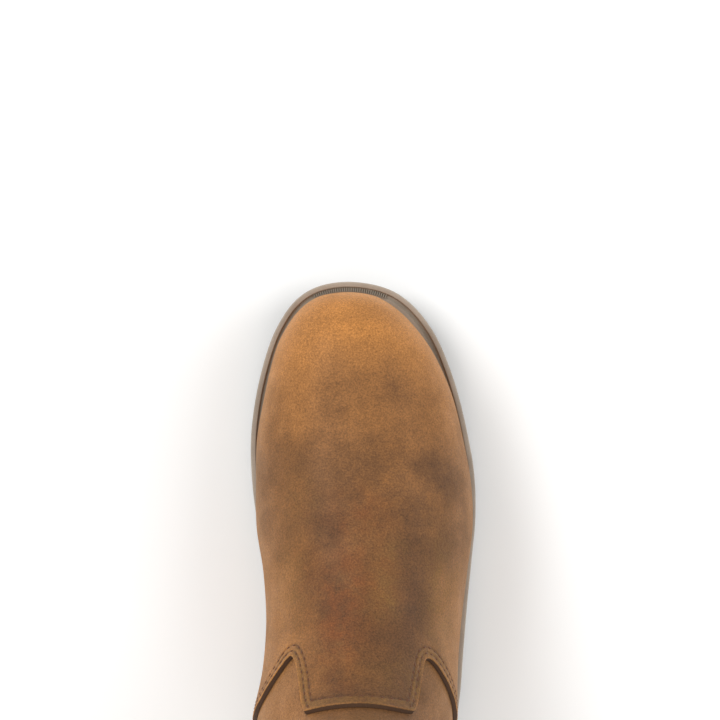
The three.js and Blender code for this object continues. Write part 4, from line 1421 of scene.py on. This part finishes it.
def felted(name, dark, light):
    """A footbed covered with short felted pile, which is pale at grazing angles."""
    return fibrous(name, dark, light, fibre=0.9 * MM, detail=4.0, rough=0.75, depth=0.4 * MM,
                   strength=0.7, roughness=0.95, sheen=0.4)


# Bands of a wave texture in one unit of its scale, and sizes of the patterns on cloth and soles
BANDS_IN_A_UNIT = 3.18
CLOTH_WEAR = 9 * MM
SOLE_CLOUD = 22 * MM
SOLE_TEXTURE = 0.8 * MM


def woven(name, dark, light, thread, depth):
    """Woven yarns over and under each other, which show as fine ribs both ways."""
    material, tree, shader, where = new_finish(name)
    weave = []
    for direction in ("Y", "Z"):
        yarns = {
            "Vector": where, "Scale": 1 / thread / BANDS_IN_A_UNIT, "Distortion": 0.4, "Detail": 1.0,
        }
        wave = add(tree, "ShaderNodeTexWave", yarns, wave_type="BANDS", bands_direction=direction)
        weave.append(wave.outputs["Fac"])
    over = add(tree, "ShaderNodeMath", dict(enumerate(weave)), operation="MULTIPLY").outputs[0]
    worn = add(tree, "ShaderNodeTexNoise", {
        "Vector": where, "Scale": 1 / CLOTH_WEAR, "Detail": 3.0, "Roughness": 0.55,
    }).outputs[0]
    shade = add(tree, "ShaderNodeMath", {0: over, 1: worn}, operation="ADD").outputs[0]
    shade = add(tree, "ShaderNodeMapRange", {"Value": shade, 1: 0.2, 2: 1.3}).outputs[0]
    tint = {0: shade, 6: colour(dark), 7: colour(light)}
    relief = {"Height": over, "Distance": depth, "Strength": 0.8}
    connect(tree, shader, {
        "Base Color": add(tree, "ShaderNodeMix", tint, data_type="RGBA").outputs[2],
        "Normal": add(tree, "ShaderNodeBump", relief).outputs[0],
        "Roughness": 0.85, "Sheen Weight": 0.25, "Sheen Roughness": 0.5,
    })
    return material


def moulded_polymer(name, dark, light, roughness):
    """A moulded sole compound: fine matt texture, slight clouding and a darker tone where its fine texture
    is low.
    """
    material, tree, shader, where = new_finish(name)
    cloud = add(tree, "ShaderNodeTexNoise", {
        "Vector": where, "Scale": 1 / SOLE_CLOUD, "Detail": 3.0, "Roughness": 0.55,
    }).outputs[0]
    fine = add(tree, "ShaderNodeTexNoise", {
        "Vector": where, "Scale": 1 / SOLE_TEXTURE, "Detail": 3.0, "Roughness": 0.7,
    }).outputs[0]
    hollow_tone = add(tree, "ShaderNodeMath", {0: fine, 1: 0.45, 2: -0.2}, operation="MULTIPLY_ADD").outputs[0]
    share = add(tree, "ShaderNodeMath", {0: cloud, 1: hollow_tone}, operation="ADD").outputs[0]
    share = add(tree, "ShaderNodeMapRange", {"Value": share, 1: 0.25, 2: 0.8}).outputs[0]
    tint = {0: share, 6: colour(dark), 7: colour(light)}
    spread = {"Value": cloud, 1: 0.3, 2: 0.7, 3: roughness - 0.05, 4: roughness + 0.08}
    relief = {"Height": fine, "Distance": 0.08 * MM, "Strength": 0.5}
    connect(tree, shader, {
        "Base Color": add(tree, "ShaderNodeMix", tint, data_type="RGBA").outputs[2],
        "Roughness": add(tree, "ShaderNodeMapRange", spread).outputs[0],
        "Normal": add(tree, "ShaderNodeBump", relief).outputs[0],
    })
    return material


LEATHER_HUES = {"dark": "#4C3422", "red": "#84481F", "olive": "#8E6834"}
TRIM_HUES = {"dark": "#33231A", "red": "#5A3018", "olive": "#5A4326"}
VAMP_FINISH = pull_up_leather("oiled_vamp_leather", "#B87B3D", "#5E3E23", LEATHER_HUES)
SHAFT_FINISH = pull_up_leather("oiled_shaft_leather", "#A97442", "#674527", LEATHER_HUES, 0.6)
TRIM_FINISH = pull_up_leather("folded_trim_leather", "#644025", "#4A2E1B", TRIM_HUES, 0.6)
EDGE_FINISH = cut_leather_edge("cut_leather_edge", "#33200F", "#5A3B22")
LINING_FINISH = woven("woven_lining", "#6B5A49", "#8E7A65", 1.3 * MM, 0.35 * MM)
THREAD_FINISH = waxed_thread("waxed_thread", "#4A260C", "#6E3E18")
WEBBING_FINISH = woven("strap_webbing", "#3B2C20", "#66503C", 1.7 * MM, 0.6 * MM)
CUSHION_FINISH = moulded_polymer("moulded_polyurethane", "#988B7C", "#B5A899", 0.7)
# A darker copy of the cushion's polyurethane: painted shade in the groove, with some dirt.
GROOVE_DIRT_AND_SHADE_FINISH = moulded_polymer("groove_polyurethane_dirt_and_shade", "#8A8174", "#A89E8F", 0.8)
RUBBER_FINISH = moulded_polymer("tread_rubber", "#3F342B", "#57493D", 0.72)
FELT_FINISH = felted("footbed_felt", "#3A342F", "#5A5149")


# Zones of the vamp where the oil has moved, seen from above. Lengths in millimetres from the middle
# of the boot: x outwards, y towards the toe, then half width and half length of the soft patch.
# Columns: x, y, half_width, half_length, dark, red, olive, brown
RUBBED_ZONES = np.array([
    (24, -2, 6, 12, 0.45, 0.0, 0.0, 0.0),
    (27, 24, 12, 18, 0.3, 0.0, 0.0, 0.0),
    (14, 44, 24, 24, 0.25, 0.0, 0.0, 0.0),
    (-13, -17, 10, 22, 0.0, 0.4, 0.0, -0.1),
    (-6, 11, 24, 22, 0.0, 0.35, 0.0, 0.0),
    (-2, 43, 13, 10, 0.0, 0.3, 0.0, 0.0),
    (11, 2, 8, 10, 0.0, 0.0, 0.4, 0.0),
    (14, 22, 8, 9, 0.0, 0.0, 0.3, 0.0),
    (3, 60, 22, 28, 0.15, 0.0, 0.0, 0.0),
    (8, 106, 27, 24, 0.0, 0.0, 0.0, 0.26),
    (38, 0, 8, 30, 0.0, 0.0, 0.4, 0.0),
    (16, -32, 18, 9, 0.15, 0.0, 0.15, 0.0),
    (-7, 137, 24, 2, 0.22, 0.0, 0.0, 0.0),
    (-30, 48, 9, 16, 0.0, 0.12, 0.2, 0.0),
    (-36, 5, 8, 22, 0.0, 0.0, 0.25, 0.0),
])
# The colour deepens from the toe to the shaft and more so above the foot. The flanks of the instep,
# inside and outside, are painted paler: painted light where the lamps graze them, more on the inside.
DEEP_START, DEEP_MIDDLE, DEEP_END = 142 * MM, 60 * MM, -20 * MM
DEEPER_FRONT, DEEPER_BACK = 0.74, 0.3
LOW_ON_FOOT = (12 * MM, 60 * MM)
LIT_INNER_FLANK, LIT_INNER_FLANK_ENDS = (10 * MM, 42 * MM), (-45 * MM, 5 * MM)
LIT_OUTER_FLANK, LIT_OUTER_FLANK_ENDS = (16 * MM, 44 * MM), (-35 * MM, 15 * MM)
PAINTED_STITCH_SHADE = 0.75
EDGE_OLIVE = 0.3
PAINTED_EDGE_HIGHLIGHT = 0.3


def paint_zones(piece, start=0.0, rows=None):
    """Stores how deep the colour is and how far it is rubbed dark, red or olive; the dark share also
    carries painted shade. The leather is painted darker where its stitches draw it in, as painted shade in
    their sunk channels, rubbed olive between them and its edge, and painted paler on its rounded edge,
    as a painted highlight: rows gives the distance of points to the edge and how much the stitches draw
    them in."""
    points = coordinates(piece.data) - MIDDLE
    x, y = points[:, 0], points[:, 1]
    zones = np.zeros((len(points), 4))
    for zone_x, zone_y, half_width, half_length, *amounts in RUBBED_ZONES:
        far = ((x / MM - zone_x) / half_width) ** 2 + ((y / MM - zone_y) / half_length) ** 2
        zones += np.exp(-far)[:, None] * amounts
    low = 1 - soft(points[:, 2] - feather_z(y), *LOW_ON_FOOT)
    zones *= (1 - low)[:, None]
    along = DEEPER_FRONT * soft(-y, -DEEP_START, -DEEP_MIDDLE)
    along += DEEPER_BACK * soft(-y, -DEEP_MIDDLE, -DEEP_END)
    # Painted light: the flanks of the instep are made paler, as if lit from the sides.
    inner = soft(-x, *LIT_INNER_FLANK) * soft(-y, *LIT_INNER_FLANK_ENDS)
    outer = soft(x, *LIT_OUTER_FLANK) * soft(-y, *LIT_OUTER_FLANK_ENDS)
    zones[:, 3] += start + along * (1 - 0.25 * low) * (1 - 0.6 * inner - 0.4 * outer)
    if rows:
        distance, pressed = rows(points + MIDDLE)
        # Painted shade in the sunk channels of the stitch rows.
        zones[:, 0] += PAINTED_STITCH_SHADE * pressed
        zones[:, 2] += EDGE_OLIVE * (1 - soft(distance, 0.8 * STITCH_ROWS[1], STITCH_ROWS[1]))
        # Painted highlight: the rounded edge is made paler, as if it catches the light.
        zones[:, 3] -= PAINTED_EDGE_HIGHLIGHT * (1 - soft(distance, EDGE_ROUND, 2 * EDGE_ROUND))
    zones = np.clip(zones, 0, 1)
    layer = piece.data.color_attributes.new("zones", "FLOAT_COLOR", "POINT")
    layer.data.foreach_set("color", zones.ravel())
    return piece


def put(piece, finishes, nodes=()):
    """Gives a piece its finishes and body, and hides the solids of the model that it stands for."""
    for index, finish in enumerate(finishes):
        if index < len(piece.data.materials):
            piece.data.materials[index] = finish
        else:
            piece.data.materials.append(finish)
    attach(piece, "root")
    if nodes:
        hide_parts(*nodes)
    return piece


def assemble():
    upper = paint_zones(make_upper(), start=-0.1)
    put(upper, [SHAFT_FINISH, EDGE_FINISH, LINING_FINISH], ["upper"])
    vamp = paint_zones(make_vamp(), rows=vamp_rows)
    put(vamp, [VAMP_FINISH, EDGE_FINISH, EDGE_FINISH], ["vamp"])
    counter = paint_zones(make_counter(), start=-0.15, rows=counter_rows)
    put(counter, [VAMP_FINISH, EDGE_FINISH], ["heel_counter"])
    for side, name in SIDES.items():
        seam = paint_zones(make_side_seam(side), start=-0.1)
        put(seam, [VAMP_FINISH, EDGE_FINISH], ["side_seam_" + name])
        put(make_pull_strap(side), [WEBBING_FINISH], ["pull_strap_" + name])
    binding = paint_zones(make_binding(), start=-0.2)
    put(binding, [TRIM_FINISH], ["collar_binding"])
    put(make_insole(), [FELT_FINISH], ["insole"])
    put(make_midsole(), [CUSHION_FINISH, GROOVE_DIRT_AND_SHADE_FINISH], ["midsole"])
    put(make_outsole(), [RUBBER_FINISH], ["outsole"])
    for make_rows in (vamp_stitches, counter_stitches, seam_stitches):
        put(make_rows(THREAD_FINISH), [THREAD_FINISH])
    put(binding_stitches(THREAD_FINISH), [THREAD_FINISH])
    put(strap_stitches(THREAD_FINISH), [THREAD_FINISH])
    # The ribs stand in the groove and take its darker finish of painted shade and dirt.
    put(toe_ribs(GROOVE_DIRT_AND_SHADE_FINISH), [GROOVE_DIRT_AND_SHADE_FINISH])


assemble()


# Floor, light and camera
CAMERA_HEIGHT = 1.5
CAMERA_AT = np.array([-1.8, 116.3]) * MM
PICTURE_PIXELS = 720
FOCAL_PIXELS = 2890
LIT_POINT = (0, 0.03, 0.1)
AREA_LIGHTS = (
    ("key", (-1.0, 0.7, 1.5), (0.9, 0.9), 19),
    ("fill", (1.2, 0.4, 1.2), (0.9, 1.3), 11),
    ("back", (0.1, -1.3, 1.0), (1.2, 0.8), 6),
)
WORLD_LIGHT = 0.52


def make_floor():
    floor = mesh_piece("floor", [(-3, -3, 0), (3, -3, 0), (3, 3, 0), (-3, 3, 0)], [(0, 1, 2, 3)])
    material, tree, shader, _ = new_finish("pale_floor")
    connect(tree, shader, {"Base Color": colour("#FCFCFB"), "Roughness": 0.9})
    floor.data.materials.append(material)


def area_light(name, place, size, power):
    light = bpy.data.lights.new(name, "AREA")
    light.shape = "RECTANGLE"
    light.size, light.size_y = size
    light.energy = power
    lamp = in_scene(name, light)
    lamp.location = place
    aim = Vector(LIT_POINT) - Vector(place)
    lamp.rotation_euler = aim.to_track_quat("-Z", "Y").to_euler()


def light_studio():
    world = bpy.data.worlds.new("studio")
    world.use_nodes = True
    sky = world.node_tree.nodes["Background"]
    connect(world.node_tree, sky, {"Color": (1, 1, 1, 1), "Strength": WORLD_LIGHT})
    bpy.context.scene.world = world
    for lamp in AREA_LIGHTS:
        area_light(*lamp)


def place_camera():
    camera = bpy.data.cameras.new("camera")
    camera.sensor_fit = "HORIZONTAL"
    camera.sensor_width = 36
    camera.lens = camera.sensor_width * FOCAL_PIXELS / PICTURE_PIXELS
    camera.clip_start, camera.clip_end = 0.05, 20
    holder = in_scene("camera", camera)
    holder.location = (*(CAMERA_AT + MIDDLE[:2]), CAMERA_HEIGHT)
    bpy.context.scene.camera = holder


make_floor()
light_studio()
place_camera()
bpy.context.scene.view_settings.view_transform = "Standard"
